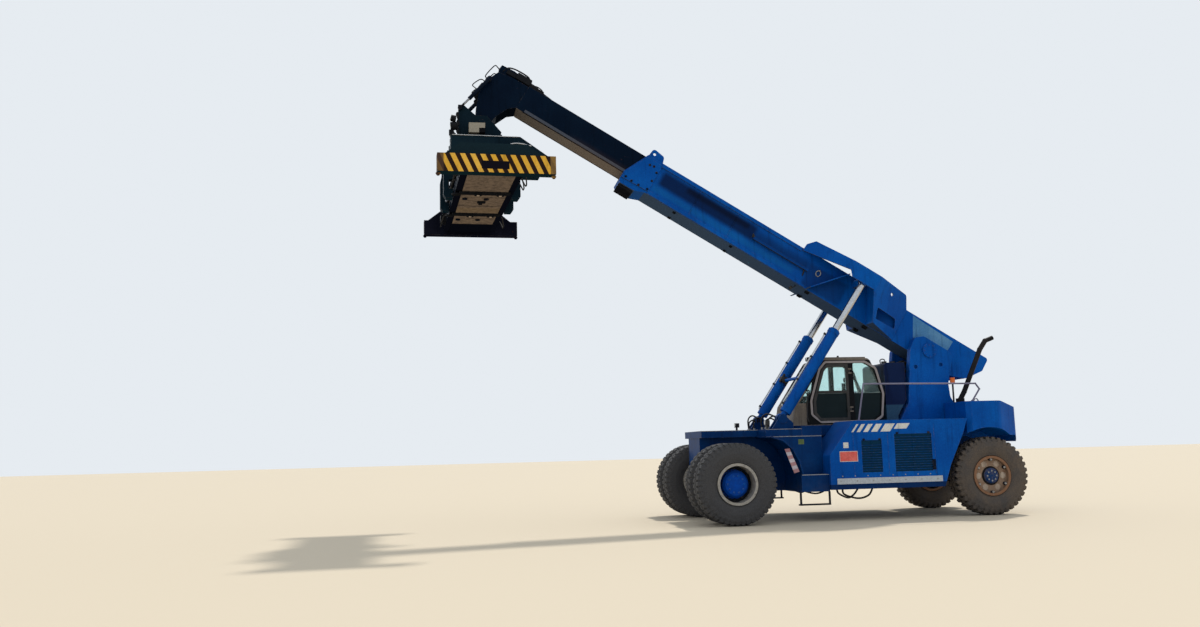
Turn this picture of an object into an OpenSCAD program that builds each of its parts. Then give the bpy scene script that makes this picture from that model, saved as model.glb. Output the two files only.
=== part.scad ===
// Reach stacker, a container handler for ports. Millimetres, +X forward, +Y left, +Z up.
// The origin is on the ground under the middle of the machine as it is parked.

/* [Stance] */
// Distance between the front and rear axles
wheelbase = 5790; // [5700:10:5900]
// Front axle ahead of the origin
front_axle_x = 175; // [150:5:200]

/* [Wheels] */
// Outside diameter of every tyre
tyre_d = 1676; // [1650:2:1690]
// Section width of every tyre
tyre_w = 500; // [480:2:510]
// Width of the tread
tread_w = 440; // [420:2:460]
// Diameter of the rim seat, which is also the hole of the tyre
rim_d = 800; // [780:2:820]
// Width of the rim seat
rim_w = 400; // [390:2:410]
// Outside diameter of the rim flanges
flange_d = 850; // [840:2:860]
// Thickness of rim barrel and flanges
rim_t = 28; // [20:1:30]
// Centre of the outer front tyre from the middle of the machine
front_outer_y = 1836; // [1830:2:1850]
// Spacing of the two tyres of a front pair
dual_pitch = 680; // [670:2:690]
// Centre of a rear tyre from the middle of the machine
rear_tyre_y = 1404; // [1400:2:1410]
// Diameter of the front hub drum
front_hub_d = 550; // [530:2:570]
// Diameter of the rear hub
rear_hub_d = 330; // [320:2:340]
// Diameter of the front axle spindle
front_spindle_d = 240; // [230:2:250]
// Diameter of the rear wheel spindle
rear_spindle_d = 180; // [170:2:190]
// Running clearance of shafts in their holes
run_gap = 0.05; // [0.03:0.01:0.08]

/* [Axles] */
// Diameter of the front axle tube
axle_tube_d = 380; // [360:5:400]
// Diameter of the brake housings on the front axle
brake_d = 520; // [500:5:540]
// Outer face of the brake housings from the middle
brake_y = 866; // [860:1:870]
// Diameter of the differential housing
diff_d = 620; // [580:5:640]
// Kingpins of the steered axle from the middle
kingpin_y = 1100; // [1095:1:1105]
// Diameter of the kingpins
kingpin_d = 120; // [110:2:130]
// Height of the steer axle beam
steer_beam_h = 320; // [300:5:330]
// Width of the steer axle beam
steer_beam_w = 300; // [280:5:320]
// Thickness of the kingpin fork plates
fork_t = 60; // [50:2:65]

/* [Frame] */
// Outer faces of the frame plates
frame_w = 1000; // [990:2:1010]
// Thickness of the frame plates
frame_t = 60; // [50:2:70]
// Top of the frame
frame_top = 1800; // [1790:2:1800]
// Bottom of the frame between the axles
frame_low = 620; // [610:2:640]
// Bottom of the frame over the axles
frame_arch = 1130; // [1125:1:1140]
// Front of the frame ahead of the front axle
frame_nose = 375; // [350:5:400]
// Height of the front deck
deck_h = 150; // [140:2:160]
// Width of the front deck
deck_w = 1500; // [1460:5:1540]
// Height of the cab platform
platform_h = 220; // [215:1:225]
// Seat clearance between bolted pieces
seat = 0.3; // [0.2:0.05:0.4]

/* [Cab] */
// Width of the cab
cab_w = 1240; // [1220:2:1250]
// Thickness of the cab walls and door
cab_t = 60; // [50:1:66]
// Height of the cab roof above the ground
cab_roof = 3500; // [3480:5:3510]
// Thickness of the window panes
glass_t = 12; // [8:1:16]
// Gap round the door
door_gap = 6; // [5:0.5:8]
// Rear edge of the door opening from the origin
door_back_x = -2900; // [-2910:5:-2890]

/* [Side bodies] */
// Outer face of the side housings from the middle
pod_y = 1700; // [1680:5:1710]
// Top of the side housings
pod_top = 2080; // [2070:2:2090]
// Wall of the side housings
pod_t = 25; // [20:1:30]
// Spacing of the grille slats
slat_pitch = 52; // [45:1:60]
// Outer face of the steps and mudguards from the middle
step_y = 1620; // [1600:5:1640]

/* [Counterweight] */
// Width of the counterweight
cw_w = 3300; // [3260:10:3320]
// Top of the counterweight
cw_top = 2450; // [2440:2:2460]
// Rear face of the counterweight from the origin
cw_back_x = -6600; // [-6620:5:-6580]
// Radius of the wheel arches in the counterweight
arch_r = 1040; // [1000:5:1045]

/* [Boom] */
// Boom pivot behind the origin
pivot_x = -4885; // [-4890:5:-4880]
// Boom pivot above the ground
pivot_z = 3660; // [3655:5:3665]
// Boom angle above level
boom_angle = 31; // [29:0.5:33]
// Width of the outer boom
boom_w = 740; // [730:2:744]
// Wall of the outer boom
boom_t = 20; // [16:1:22]
// Top of the outer boom above the pivot
boom_up = 620; // [612:2:630]
// Underside of the outer boom below the pivot
boom_down = 195; // [190:1:200]
// Collar face of the outer boom ahead of the pivot
boom_len = 8060; // [8030:10:8080]
// Width of the inner boom
inner_w = 640; // [630:2:644]
// Height of the inner boom
inner_h = 590; // [580:2:596]
// Wall of the inner boom
inner_t = 16; // [12:1:20]
// Gap over the inner boom inside the outer boom
inner_top_gap = 30; // [26:1:34]
// Rear end of the inner boom ahead of the pivot
inner_back = 2100; // [2050:10:2150]
// Front end of the inner boom ahead of the pivot
inner_front = 10850; // [10840:5:10860]
// Running gap at the wear pads
pad_gap = 0.5; // [0.3:0.1:0.9]
// Diameter of the boom pivot journals
pivot_d = 200; // [190:2:210]

/* [Lift cylinders] */
// Lift cylinders from the middle
cyl_y = 820; // [816:1:824]
// Foot pins from the origin
foot_x = -1215; // [-1220:1:-1210]
// Foot pins above the ground
foot_z = 2170; // [2165:1:2175]
// Outside diameter of the barrels
barrel_d = 250; // [240:2:254]
// Length of a barrel from its foot pin
barrel_len = 2349; // [2330:1:2360]
// Diameter of the rods
rod_d = 160; // [150:2:170]
// Length of a rod from its eye
rod_len = 2580; // [2560:5:2590]
// Width of foot and rod eyes
eye_w = 150; // [140:2:156]
// Diameter of the cylinder pins
cyl_pin_d = 110; // [100:2:120]
// Rod eye ahead of the boom pivot, along the boom
top_pin_s = 2144; // [2140:1:2150]
// Rod eye above the boom pivot, square to the boom
top_pin_t = 515; // [510:1:520]

/* [Head] */
// Hang pin of the head from the origin
hang_x = 5190; // [5185:1:5195]
// Hang pin above the ground
hang_z = 8860; // [8855:1:8865]
// Width of the head
head_w = 600; // [590:2:610]
// Diameter of the hang pin
hang_pin_d = 120; // [110:2:130]
// Dampers from the middle
damper_y = 428; // [426:1:432]
// Outside diameter of the damper barrels
damper_d = 88; // [80:2:90]
// Diameter of the damper rods
damper_rod_d = 50; // [46:2:54]
// Turntable height above the ground
turntable_z = 8480; // [8478:1:8485]

/* [Spreader] */
// Turn of the spreader about the upright axis
spreader_yaw = 3.4; // [0:0.1:4]
// Width of the end beams along X
end_beam_w = 2310; // [2300:5:2330]
// Thickness of the end beams along Y
end_beam_t = 260; // [250:2:270]
// Height of the end beams
end_beam_h = 360; // [350:2:370]
// Underside of the end beams above the ground
end_beam_z = 6980; // [6975:1:6985]
// Twistlock spacing across, as a container has it
lock_pitch_x = 2259; // [2255:1:2261]
// Twistlock spacing along, as a short container has it
lock_pitch_y = 5853; // [5850:1:5856]
// Half width of the main frame
main_half = 620; // [612:1:626]
// Middle of the main frame ahead of the turntable
main_shift = 60; // [50:2:70]
// Width of one telescopic arm
arm_w = 170; // [160:2:176]
// Height of the telescopic arms
arm_h = 480; // [470:2:490]
// Wall round the telescopic arms
arm_wall = 20; // [16:1:24]

/* [Hidden] */
$fn = 48;

rear_axle_x = front_axle_x - wheelbase;
axle_z = tyre_d / 2;
half_frame = frame_w / 2;
deck_top = frame_top + deck_h;
platform_top = frame_top + platform_h;
nose_x = front_axle_x + frame_nose;
bay_x = -1940;
boom_half = boom_w / 2;
inner_half = inner_w / 2;
inner_up = boom_up - boom_t - inner_top_gap;
inner_down = inner_up - inner_h;
boom_dir = [cos(boom_angle), sin(boom_angle)];
pin_x = pivot_x + top_pin_s * boom_dir.x - top_pin_t * boom_dir.y;
pin_z = pivot_z + top_pin_s * boom_dir.y + top_pin_t * boom_dir.x;
cyl_angle = atan2(pin_z - foot_z, pin_x - foot_x);
cyl_len = norm([pin_x - foot_x, pin_z - foot_z]);
tower_in = boom_half + 30;
tower_out = tower_in + 160;
cab_half = cab_w / 2;
cab_floor = platform_top + 70;
end_beam_y = lock_pitch_y / 2 + 143.5;
main_len = lock_pitch_y - 413;
blue = [0.0, 0.27, 0.56];
dark_blue = [0.02, 0.10, 0.22];
navy = [0.05, 0.09, 0.14];
steel = [0.75, 0.76, 0.78];
black = [0.08, 0.08, 0.09];
beige = [0.66, 0.62, 0.55];

// Outline of the cab seen from its left side, from front foot to rear foot
cab_side = [
    [-1545, platform_top + seat], [-1625, 2470], [-2325, cab_roof], [-3400, cab_roof],
    [-3740, 2700], [-3560, platform_top + seat]
];
cab_side_round = [0, 60, 110, 130, 90, 0];
// Door opening, the window behind it and the small one ahead of it
door_hole = [
    [door_back_x, cab_floor + 20], [-2180, cab_floor + 20], [-2050, 2270], [-2045, 2560], [-2270, 3250],
    [-2390, cab_roof - 120], [door_back_x, cab_roof - 120]
];
door_round = [0, 70, 60, 120, 100, 60, 0];
quarter_hole = [
    [-3440, cab_floor + 40], [door_back_x - 110, cab_floor + 40], [door_back_x - 110, cab_roof - 110],
    [-3260, cab_roof - 110], [-3480, 3270], [-3640, 2700], [-3600, 2240]
];
quarter_round = [60, 40, 40, 60, 120, 120, 60];
front_hole = [[-1950, 2510], [-1715, 2510], [-2060, 3020]];
// Raised rim round the door and the window behind it
rim_outer = [
    [-3480, cab_floor - 25], [-2200, cab_floor - 25], [-1980, 2240], [-1970, 2560], [-2200, 3270],
    [-2350, cab_roof - 60],
    [-3300, cab_roof - 60], [-3560, 3290], [-3715, 2700], [-3660, 2180]
];
rim_round = [60, 110, 90, 160, 120, 90, 110, 160, 160, 90];

function unit(v) = v / norm(v);
function left_of(a, b) = let (u = unit(b - a)) [-u.y, u.x];
// A closed outline drawn counter-clockwise, moved inward by d
function inset(p, d) = [
    for (i = [0 : len(p) - 1])
        let (
            a = p[(i + len(p) - 1) % len(p)],
            b = p[i],
            c = p[(i + 1) % len(p)],
            n = left_of(a, b),
            m = left_of(b, c)
        )
        b + (n + m) * d / (1 + n * m)
];

// A flat outline whose outward corners are rounded: radii has one value for each point, 0 for sharp
module rounded(p, radii) {
    n = len(p);
    u = [for (i = [0 : n - 1]) unit(p[(i + n - 1) % n] - p[i])];
    v = [for (i = [0 : n - 1]) unit(p[(i + 1) % n] - p[i])];
    half = [for (i = [0 : n - 1]) acos(max(-1, min(1, u[i] * v[i]))) / 2];
    reach = [for (i = [0 : n - 1]) radii[i] / tan(half[i])];
    polygon([
        for (i = [0 : n - 1]) each radii[i] > 0 ? [p[i] + reach[i] * u[i], p[i] + reach[i] * v[i]] : [p[i]]
    ]);
    for (i = [0 : n - 1]) if (radii[i] > 0)
        translate(p[i] + unit(u[i] + v[i]) * radii[i] / sin(half[i])) circle(r = radii[i]);
}
// A block from its lowest corner to its highest
module block(a, b) {
    translate(a) cube(b - a);
}
// A shape drawn in X and Z, spread from y0 to y1
module spread(y0, y1) {
    translate([0, y1, 0]) rotate([90, 0, 0]) linear_extrude(y1 - y0) children();
}
module both_sides() {
    children();
    mirror([0, 1, 0]) children();
}
// A round bar across the machine from y0 to y1
module bar_y(x, z, d, y0, y1) {
    translate([x, y0, z]) rotate([-90, 0, 0]) cylinder(d = d, h = y1 - y0);
}
module tube_y(x, z, d, bore, y0, y1) {
    difference() {
        bar_y(x, z, d, y0, y1);
        bar_y(x, z, bore, y0 - 1, y1 + 1);
    }
}
// A round bar between two points
module rod_between(a, b, d) {
    v = b - a;
    translate(a) rotate([0, acos(v.z / norm(v)), atan2(v.y, v.x)]) cylinder(d = d, h = norm(v));
}
module ring(r_out, r_in, z0, z1) {
    translate([0, 0, z0]) difference() {
        cylinder(r = r_out, h = z1 - z0);
        translate([0, 0, -1]) cylinder(r = r_in, h = z1 - z0 + 2);
    }
}
// Boom coordinates: X along the boom from its pivot, Z square to it
module at_boom() {
    translate([pivot_x, 0, pivot_z]) rotate([0, -boom_angle, 0]) children();
}
module at_cylinder() {
    translate([foot_x, 0, foot_z]) rotate([0, -cyl_angle, 0]) children();
}
module at_spreader() {
    translate([hang_x, 0, 0]) rotate([0, 0, spreader_yaw]) children();
}
// Wheel coordinates: Z runs outward from the middle of the machine
module left_wheel(x) {
    translate([x, 0, axle_z]) rotate([-90, 0, 0]) children();
}
module right_wheel(x) {
    translate([x, 0, axle_z]) rotate([90, 0, 0]) children();
}

module chassis_frame() {
    side = [
        [nose_x, frame_arch], [nose_x, frame_top], [rear_axle_x - 350, frame_top],
        [rear_axle_x - 350, frame_arch], [rear_axle_x + 820, frame_arch],
        [rear_axle_x + 1050, frame_low], [front_axle_x - 900, frame_low],
        [front_axle_x - 640, frame_arch]
    ];
    cross_x = [nose_x - 60, -700, -1500, -4600, rear_axle_x - 350];
    between = half_frame - frame_t - seat;
    color(blue) {
        both_sides() spread(half_frame - frame_t, half_frame) polygon(side);
        for (x = cross_x) block([x, -between, frame_arch + 20], [x + 60, between, frame_top]);
        block([-4500, -between, frame_low], [-1300, between, frame_low + 40]);
        block([rear_axle_x - 130, -between, frame_arch], [rear_axle_x + 130, between, frame_arch + 90]);
    }
}

module front_deck() {
    rear_x = -1500;
    wide = 1300;
    skirt = 20;
    low = frame_top + seat;
    under = deck_top - skirt - seat;
    lug_in = cyl_y - eye_w / 2 - 6;
    lug_out = cyl_y + eye_w / 2 + 6;
    lug = [
        [foot_x + 260, deck_top + seat], [foot_x + 60, foot_z + 60], [foot_x - 60, foot_z + 60],
        [foot_x - 230, foot_z - 90], [foot_x - 230, deck_top + seat]
    ];
    color(dark_blue) {
        // Narrow deck over the axle: top plate and skirts
        block([-700, -deck_w / 2, deck_top - skirt], [nose_x + 20, deck_w / 2, deck_top]);
        both_sides() block([-700 + seat, half_frame - 60, low], [nose_x + 20, deck_w / 2, under]);
        block([nose_x - 40, -half_frame + 60 + seat, low], [nose_x + 20, half_frame - 60 - seat, under]);
        // Wide deck ahead of the cab
        block([rear_x, -wide, deck_top - skirt], [-700 - seat, wide, deck_top]);
        both_sides() block([rear_x, half_frame - 60, low], [-700, wide, under]);
        both_sides() {
            spread(lug_in - 50, lug_in) rounded(lug, [0, 60, 60, 60, 0]);
            spread(lug_out, lug_out + 50) rounded(lug, [0, 60, 60, 60, 0]);
            bar_y(foot_x, foot_z, 200, lug_in - 64, lug_in);
            bar_y(foot_x, foot_z, 200, lug_out, lug_out + 64);
            bar_y(foot_x, foot_z, cyl_pin_d, lug_in - 60, lug_out + 60);
        }
    }
}

module cab_platform() {
    low = frame_top + seat;
    top = platform_top;
    front = -1500 - seat;
    under = top - 20 - seat;
    color(blue) {
        block([-4050, -640, top - 20], [front, 640, top]);
        both_sides() {
            block([-4050, half_frame - 30, low], [front, 640, under]);
            block([bay_x, 640 + seat, low], [front, 1300, top - 20]);
        }
        for (x = [-4050, -1560])
            block([x, -half_frame + 30 + seat, low], [x + 50, half_frame - 30 - seat, under]);
    }
}

module front_axle() {
    profile = [
        [0, -brake_y], [brake_d / 2, -brake_y], [brake_d / 2, -brake_y + 240], [axle_tube_d / 2, -560],
        [axle_tube_d / 2, -340], [diff_d / 2, -180], [diff_d / 2, 180], [axle_tube_d / 2, 340],
        [axle_tube_d / 2, 560], [brake_d / 2, brake_y - 240], [brake_d / 2, brake_y], [0, brake_y]
    ];
    color(dark_blue) {
        translate([front_axle_x, 0, axle_z]) rotate([90, 0, 0]) rotate_extrude() polygon(profile);
        both_sides() {
            bar_y(front_axle_x, axle_z, front_spindle_d, brake_y - 10, brake_y + 380);
            block([front_axle_x - 180, 380, axle_z + 60], [front_axle_x + 180, 500, frame_arch - seat]);
        }
    }
}

module front_rims() {
    outer = front_outer_y;
    inner = front_outer_y - dual_pitch;
    hub_in = brake_y + 14;
    hub = [
        [front_spindle_d / 2 + run_gap, hub_in], [front_hub_d / 2, hub_in], [front_hub_d / 2, outer + 30],
        [front_hub_d / 2 - 50, outer + 85], [80, outer + 105], [0, outer + 105],
        [0, brake_y + 390], [front_spindle_d / 2 + run_gap, brake_y + 390]
    ];
    for (c = [outer, inner]) {
        ring(rim_d / 2 - seat, rim_d / 2 - rim_t, c - rim_w / 2, c + rim_w / 2);
        for (z = [c - rim_w / 2 - rim_t, c + rim_w / 2])
            ring(flange_d / 2, rim_d / 2 - rim_t, z, z + rim_t);
    }
    ring(rim_d / 2 - rim_t + 1, front_hub_d / 2 - 1, outer - 110, outer - 80);
    ring(rim_d / 2 - rim_t + 1, front_hub_d / 2 - 1, inner + 80, inner + 110);
    rotate_extrude() polygon(hub);
}

// A tyre of flat layers: a ring of lugs, two shoulders and two side walls
module tyre(centre) {
    r = tyre_d / 2;
    half = tyre_w / 2;
    tread = tread_w / 2 - 30;
    lugs = 20;
    step = 360 / lugs;
    lug_half = step * 0.31;
    top = r / cos(lug_half);
    groove = (r - 26) / cos(step / 2 - lug_half - 1);
    gear = [for (i = [0 : lugs - 1]) each [
        for (c = [[-lug_half - 1, groove], [-lug_half, top], [lug_half, top], [lug_half + 1, groove]])
            c[1] * [cos(i * step + c[0] + 90), sin(i * step + c[0] + 90)]
    ]];
    corner = 180 / 24;
    hole = (rim_d / 2 + seat) / cos(corner);
    recess = (flange_d / 2 + 6) / cos(corner);
    translate([0, 0, centre]) difference() {
        union() {
            translate([0, 0, -tread]) linear_extrude(2 * tread) polygon(gear);
            translate([0, 0, -tread - 36]) cylinder(r = r - 40, h = 2 * tread + 72, $fn = 24);
            translate([0, 0, -half]) cylinder(r = r - 120, h = 2 * half, $fn = 24);
        }
        translate([0, 0, -half - 1]) cylinder(r = hole, h = 2 * half + 2, $fn = 24);
        for (z = [-half - 1, rim_w / 2 - seat]) translate([0, 0, z])
            cylinder(r = recess, h = half + 1 - rim_w / 2 + seat, $fn = 24);
    }
}

module front_tyres() {
    tyre(front_outer_y);
    tyre(front_outer_y - dual_pitch);
}
module front_tyres_left() { color(black) left_wheel(front_axle_x) front_tyres(); }
module front_tyres_right() { color(black) right_wheel(front_axle_x) front_tyres(); }
module front_rims_left() { color(blue) left_wheel(front_axle_x) front_rims(); }
module front_rims_right() { color(blue) right_wheel(front_axle_x) front_rims(); }

module rear_rim() {
    c = rear_tyre_y;
    hub_in = kingpin_y + 200;
    bore = rear_spindle_d / 2 + run_gap;
    hub = [
        [bore, hub_in], [rear_hub_d / 2, hub_in], [rear_hub_d / 2, c + 170], [rear_hub_d / 2 - 30, c + 200],
        [0, c + 200], [0, kingpin_y + 460], [bore, kingpin_y + 460]
    ];
    ring(rim_d / 2 - seat, rim_d / 2 - rim_t, c - rim_w / 2, c + rim_w / 2);
    for (z = [c - rim_w / 2 - rim_t, c + rim_w / 2])
        ring(flange_d / 2, rim_d / 2 - rim_t, z, z + rim_t);
    ring(rim_d / 2 - rim_t + 1, rear_hub_d / 2 - 1, c + 110, c + 140);
    rotate_extrude() polygon(hub);
}
module rear_tyre_left() { color(black) left_wheel(rear_axle_x) tyre(rear_tyre_y); }
module rear_tyre_right() { color(black) right_wheel(rear_axle_x) tyre(rear_tyre_y); }
module rear_rim_left() { color(beige) left_wheel(rear_axle_x) rear_rim(); }
module rear_rim_right() { color(beige) right_wheel(rear_axle_x) rear_rim(); }

module steer_axle() {
    gap_h = steer_beam_h / 2 - 10;
    color(dark_blue) {
        block([rear_axle_x - steer_beam_w / 2, -kingpin_y + 170, axle_z - steer_beam_h / 2],
            [rear_axle_x + steer_beam_w / 2, kingpin_y - 170, axle_z + steer_beam_h / 2]);
        block([rear_axle_x - 130, -430, axle_z + 100], [rear_axle_x + 130, 430, frame_arch - seat]);
        both_sides() for (z = [axle_z + gap_h, axle_z - gap_h - fork_t]) difference() {
            union() {
                block([rear_axle_x - 120, kingpin_y - 300, z], [rear_axle_x + 120, kingpin_y, z + fork_t]);
                translate([rear_axle_x, kingpin_y, z]) cylinder(r = 120, h = fork_t);
            }
            translate([rear_axle_x, kingpin_y, z - 1]) cylinder(r = kingpin_d / 2 + run_gap, h = fork_t + 2);
        }
    }
}

module knuckle() {
    gap_h = steer_beam_h / 2 - 10;
    translate([rear_axle_x, kingpin_y, axle_z]) {
        translate([0, 0, -gap_h + 5]) cylinder(r = 108, h = 2 * gap_h - 10);
        translate([0, 0, -gap_h - fork_t - 10]) cylinder(d = kingpin_d, h = 2 * (gap_h + fork_t + 10));
    }
    bar_y(rear_axle_x, axle_z, rear_spindle_d, kingpin_y, kingpin_y + 450);
    bar_y(rear_axle_x, axle_z, rear_spindle_d + 90, kingpin_y + 90, kingpin_y + 190);
}
module knuckle_left() { color(dark_blue) knuckle(); }
module knuckle_right() { color(dark_blue) mirror([0, 1, 0]) knuckle(); }

// Curved guard behind the front wheels, as a path of outer points
guard_path = [[-690, 1780], [-965, 1690], [-1165, 1510], [-1300, 1250], [-1365, 960], [-1320, 620]];

module step_bodies() {
    back = bay_x + seat;
    body = concat(guard_path, [[back, 620], [back, frame_top - seat], [-690, frame_top - seat]]);
    guard = concat(guard_path, [for (i = [5 : -1 : 0]) guard_path[i] + [-30, i == 0 ? 18 : 12]]);
    color(blue) both_sides() {
        difference() {
            spread(half_frame + seat, 1300) polygon(body);
            block([bay_x + 30, half_frame - 10, 660], [-1420, 1270, frame_top - 30]);
        }
        spread(1299, step_y) polygon(guard);
        block([bay_x + seat, 1299, 620], [-1330, step_y, 980]);
    }
}

// Grille openings on a pod: front edge, rear edge, bottom, top
grilles = [[-2655, -3105, 990, 1660], [-3395, -4235, 990, 1780]];
module side_pod() {
    outline = [
        [bay_x - seat, 650], [bay_x - seat, 1360], [-2500, pod_top], [-5080, pod_top],
        [-4975, 1780], [-4640, 1100], [-4485, 650]
    ];
    skirt = [for (i = [6 : -1 : 0]) outline[i]];
    difference() {
        union() {
            intersection() {
                spread(half_frame + seat, pod_y) rounded(skirt, [0, 0, 40, 0, 60, 60, 0]);
                block([-6000, 0, 0], [0, 2000, frame_top - seat]);
            }
            intersection() {
                spread(640 + seat, pod_y) rounded(skirt, [0, 0, 40, 0, 60, 60, 0]);
                block([-6000, 0, 1500], [0, 2000, 3000]);
            }
            block([-4425, pod_y - 1, 760], [-2075, pod_y + 22, 880]);
        }
        block([-4450, half_frame - 10, 650 + pod_t], [bay_x - 40, pod_y - pod_t, 1340]);
        block([-4780, 640 + pod_t, 1330], [-2080, pod_y - pod_t, 1480]);
        block([-4880, 640 + pod_t, 1470], [-2540, pod_y - pod_t, pod_top - pod_t]);
        for (g = grilles) block([g[1], pod_y - 16, g[2]], [g[0], pod_y + 30, g[3]]);
        // Door joints cut into the face
        for (x = [-2480, -3250, -4300]) block([x, pod_y - 4, 930], [x + 8, pod_y + 1, 1980]);
    }
    for (g = grilles) {
        slats = floor((g[3] - g[2]) / slat_pitch);
        for (i = [1 : slats - 1]) translate([g[1] - 1, pod_y - 17, g[2] + i * slat_pitch])
            rotate([-30, 0, 0]) cube([g[0] - g[1] + 2, 18, 6]);
        mid = (g[0] + g[1]) / 2;
        block([mid - 9, pod_y - 17, g[2] - 1], [mid + 9, pod_y - 4, g[3] + 1]);
    }
}
module side_pod_left() { color(blue) side_pod(); }
module side_pod_right() { color(blue) mirror([0, 1, 0]) side_pod(); }

module engine_block() {
    color(dark_blue) {
        block([-4250, -360, frame_low + 40 + seat], [-2700, 360, 1620]);
        block([-2701, -240, frame_low + 40 + seat], [-1750, 240, 1250]);
    }
}

module tank_unit() {
    outline = [
        [-3760, platform_top + seat], [-3760, 3340], [-3820, 3390], [-4250, 3390], [-4250, 2560],
        [-4030, 2200], [-4030, platform_top + seat]
    ];
    color(dark_blue) {
        spread(-tower_in + 10, tower_in - 10) polygon(outline);
        both_sides() spread(tower_in - 11, 600) polygon(outline);
    }
}

module boom_tower() {
    base = frame_top + seat;
    cheek = [
        [-5440, base], [-4085, base], [-4085, 2090], [-4300, 2460], [-4380, 3230], [-4440, 3700],
        [-4560, 3960], [-4785, 3985], [-5400, 3615], [-5440, 3500], [-5300, 2890], [-5330, 2600], [-5440, 2400]
    ];
    color(blue) {
        both_sides() {
            difference() {
                spread(tower_in, tower_out) rounded(cheek, [0, 0, 40, 0, 0, 0, 120, 120, 80, 60, 0, 0, 0]);
                bar_y(pivot_x, pivot_z, pivot_d + 2 * run_gap, tower_in - 1, tower_out + 1);
                for (hole = [[-5150, 3330], [-4540, 3290]])
                    bar_y(hole[0], hole[1], 90, tower_out - 60, tower_out + 1);
                // Lightening pocket in the inner face
                block([-5180, tower_in - 1, 2500], [-4500, tower_in + 90, 3200]);
            }
            // Edge strips that stiffen the cheek
            spread(tower_out - 1, tower_out + 24) polygon([
                [-4102, base], [-4087, base], [-4087, 2086], [-4302, 2456], [-4382, 3228], [-4412, 3228],
                [-4332, 2462], [-4117, 2092]
            ]);
        }
        block([-5300, -tower_in - 1, base], [-5260, tower_in + 1, 2380]);
        block([-4330, -tower_in - 1, base], [-4290, tower_in + 1, 2380]);
    }
}

module counterweight() {
    half = cw_w / 2;
    low = 1700;
    frame_back = rear_axle_x - 350 - seat;
    // The corners are cut off in front and turned behind
    plan = [
        [-5140, 600], [-5140, half - 90], [-5230, half], [-5870, half], [-6430, half - 350],
        [cw_back_x, half - 750], [cw_back_x, 750 - half], [-6430, 350 - half], [-5870, -half],
        [-5230, -half], [-5140, 90 - half], [-5140, -600], [-5460, -600], [-5460, 600]
    ];
    // The top falls to the rear
    side = [
        [cw_back_x - 20, 1560], [-6480, 1560], [-6400, low], [-5100, low], [-5100, cw_top],
        [-5930, cw_top], [cw_back_x - 20, cw_top - 194]
    ];
    color(blue) {
        difference() {
            intersection() {
                translate([0, 0, 1000]) linear_extrude(2000)
                    rounded(plan, [0, 0, 0, 300, 200, 150, 150, 200, 300, 0, 0, 0, 0, 0]);
                spread(-2000, 2000) rounded(side, [0, 0, 0, 0, 0, 400, 60]);
            }
            // Wheel arches and the seat on the frame
            both_sides() bar_y(rear_axle_x, axle_z, 2 * arch_r, half_frame + 40, half + 10);
            block([frame_back, -half_frame - seat, 1500], [-5000, half_frame + seat, frame_top + seat]);
        }
        block([-6460, -470, 800], [frame_back, 470, 1560 - seat]);
        block([-6420, -470, 1560], [frame_back, 470, low + 1]);
        // Tow plates
        for (z = [900, 1020]) difference() {
            union() {
                block([-6610, -90, z], [-6460 - seat, 90, z + 40]);
                translate([-6610, 0, z]) cylinder(r = 45, h = 40);
            }
            translate([-6610, 0, z - 1]) cylinder(d = 50, h = 42);
        }
    }
}

module access_steps() {
    color(dark_blue) both_sides() {
        for (x = [-1330, -1960]) block([x, step_y - 70, 340], [x + 35, step_y - 30, 620 - seat]);
        block([-1960, step_y - 160, 340], [-1295, step_y - 30, 370]);
    }
}

module handrails() {
    y = pod_y - 90;
    d = 36;
    rail = [
        [-2665, pod_top + seat], [-2815, 2862], [-5380, 2830], [-5465, 2710], [-5290, cw_top + seat]
    ];
    color(dark_blue) both_sides() {
        for (i = [0 : 3]) rod_between([rail[i].x, y, rail[i].y + (i == 0 ? 8 : 0)],
            [rail[i + 1].x, y, rail[i + 1].y + (i == 3 ? 12 : 0)], d);
        for (i = [1 : 3]) translate([rail[i].x, y, rail[i].y]) sphere(d = d + 5);
        for (p = [rail[0], rail[4]]) translate([p.x, y, p.y]) cylinder(d = 70, h = 20);
    }
}

module exhaust_stack() {
    y = 900;
    path = [[-5380, cw_top + seat], [-5490, 2690], [-5940, 3640], [-6080, 3830], [-6265, 3900]];
    color(black) {
        translate([path[0].x, y, path[0].y]) cylinder(d = 190, h = 90);
        for (i = [0 : 3]) {
            a = path[i];
            b = path[i + 1];
            rod_between([a.x, y, a.y + (i == 0 ? 60 : 0)], [b.x, y, b.y], i == 3 ? 100 : 110);
            if (i < 3) translate([b.x, y, b.y]) sphere(d = 116);
        }
    }
}

module lamps() {
    color([0.9, 0.35, 0.05]) {
        translate([-5300, 760, cw_top + seat]) cylinder(d = 40, h = 460);
        translate([-5300, 760, cw_top + 455]) cylinder(d = 110, h = 110);
    }
    // Small work lamps on the deck beside the cylinder feet
    color(steel) both_sides() {
        block([-800, 1130, deck_top + seat], [-760, 1170, deck_top + 90]);
        block([-830, 1090, deck_top + 89], [-740, 1210, deck_top + 190]);
    }
}

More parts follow.
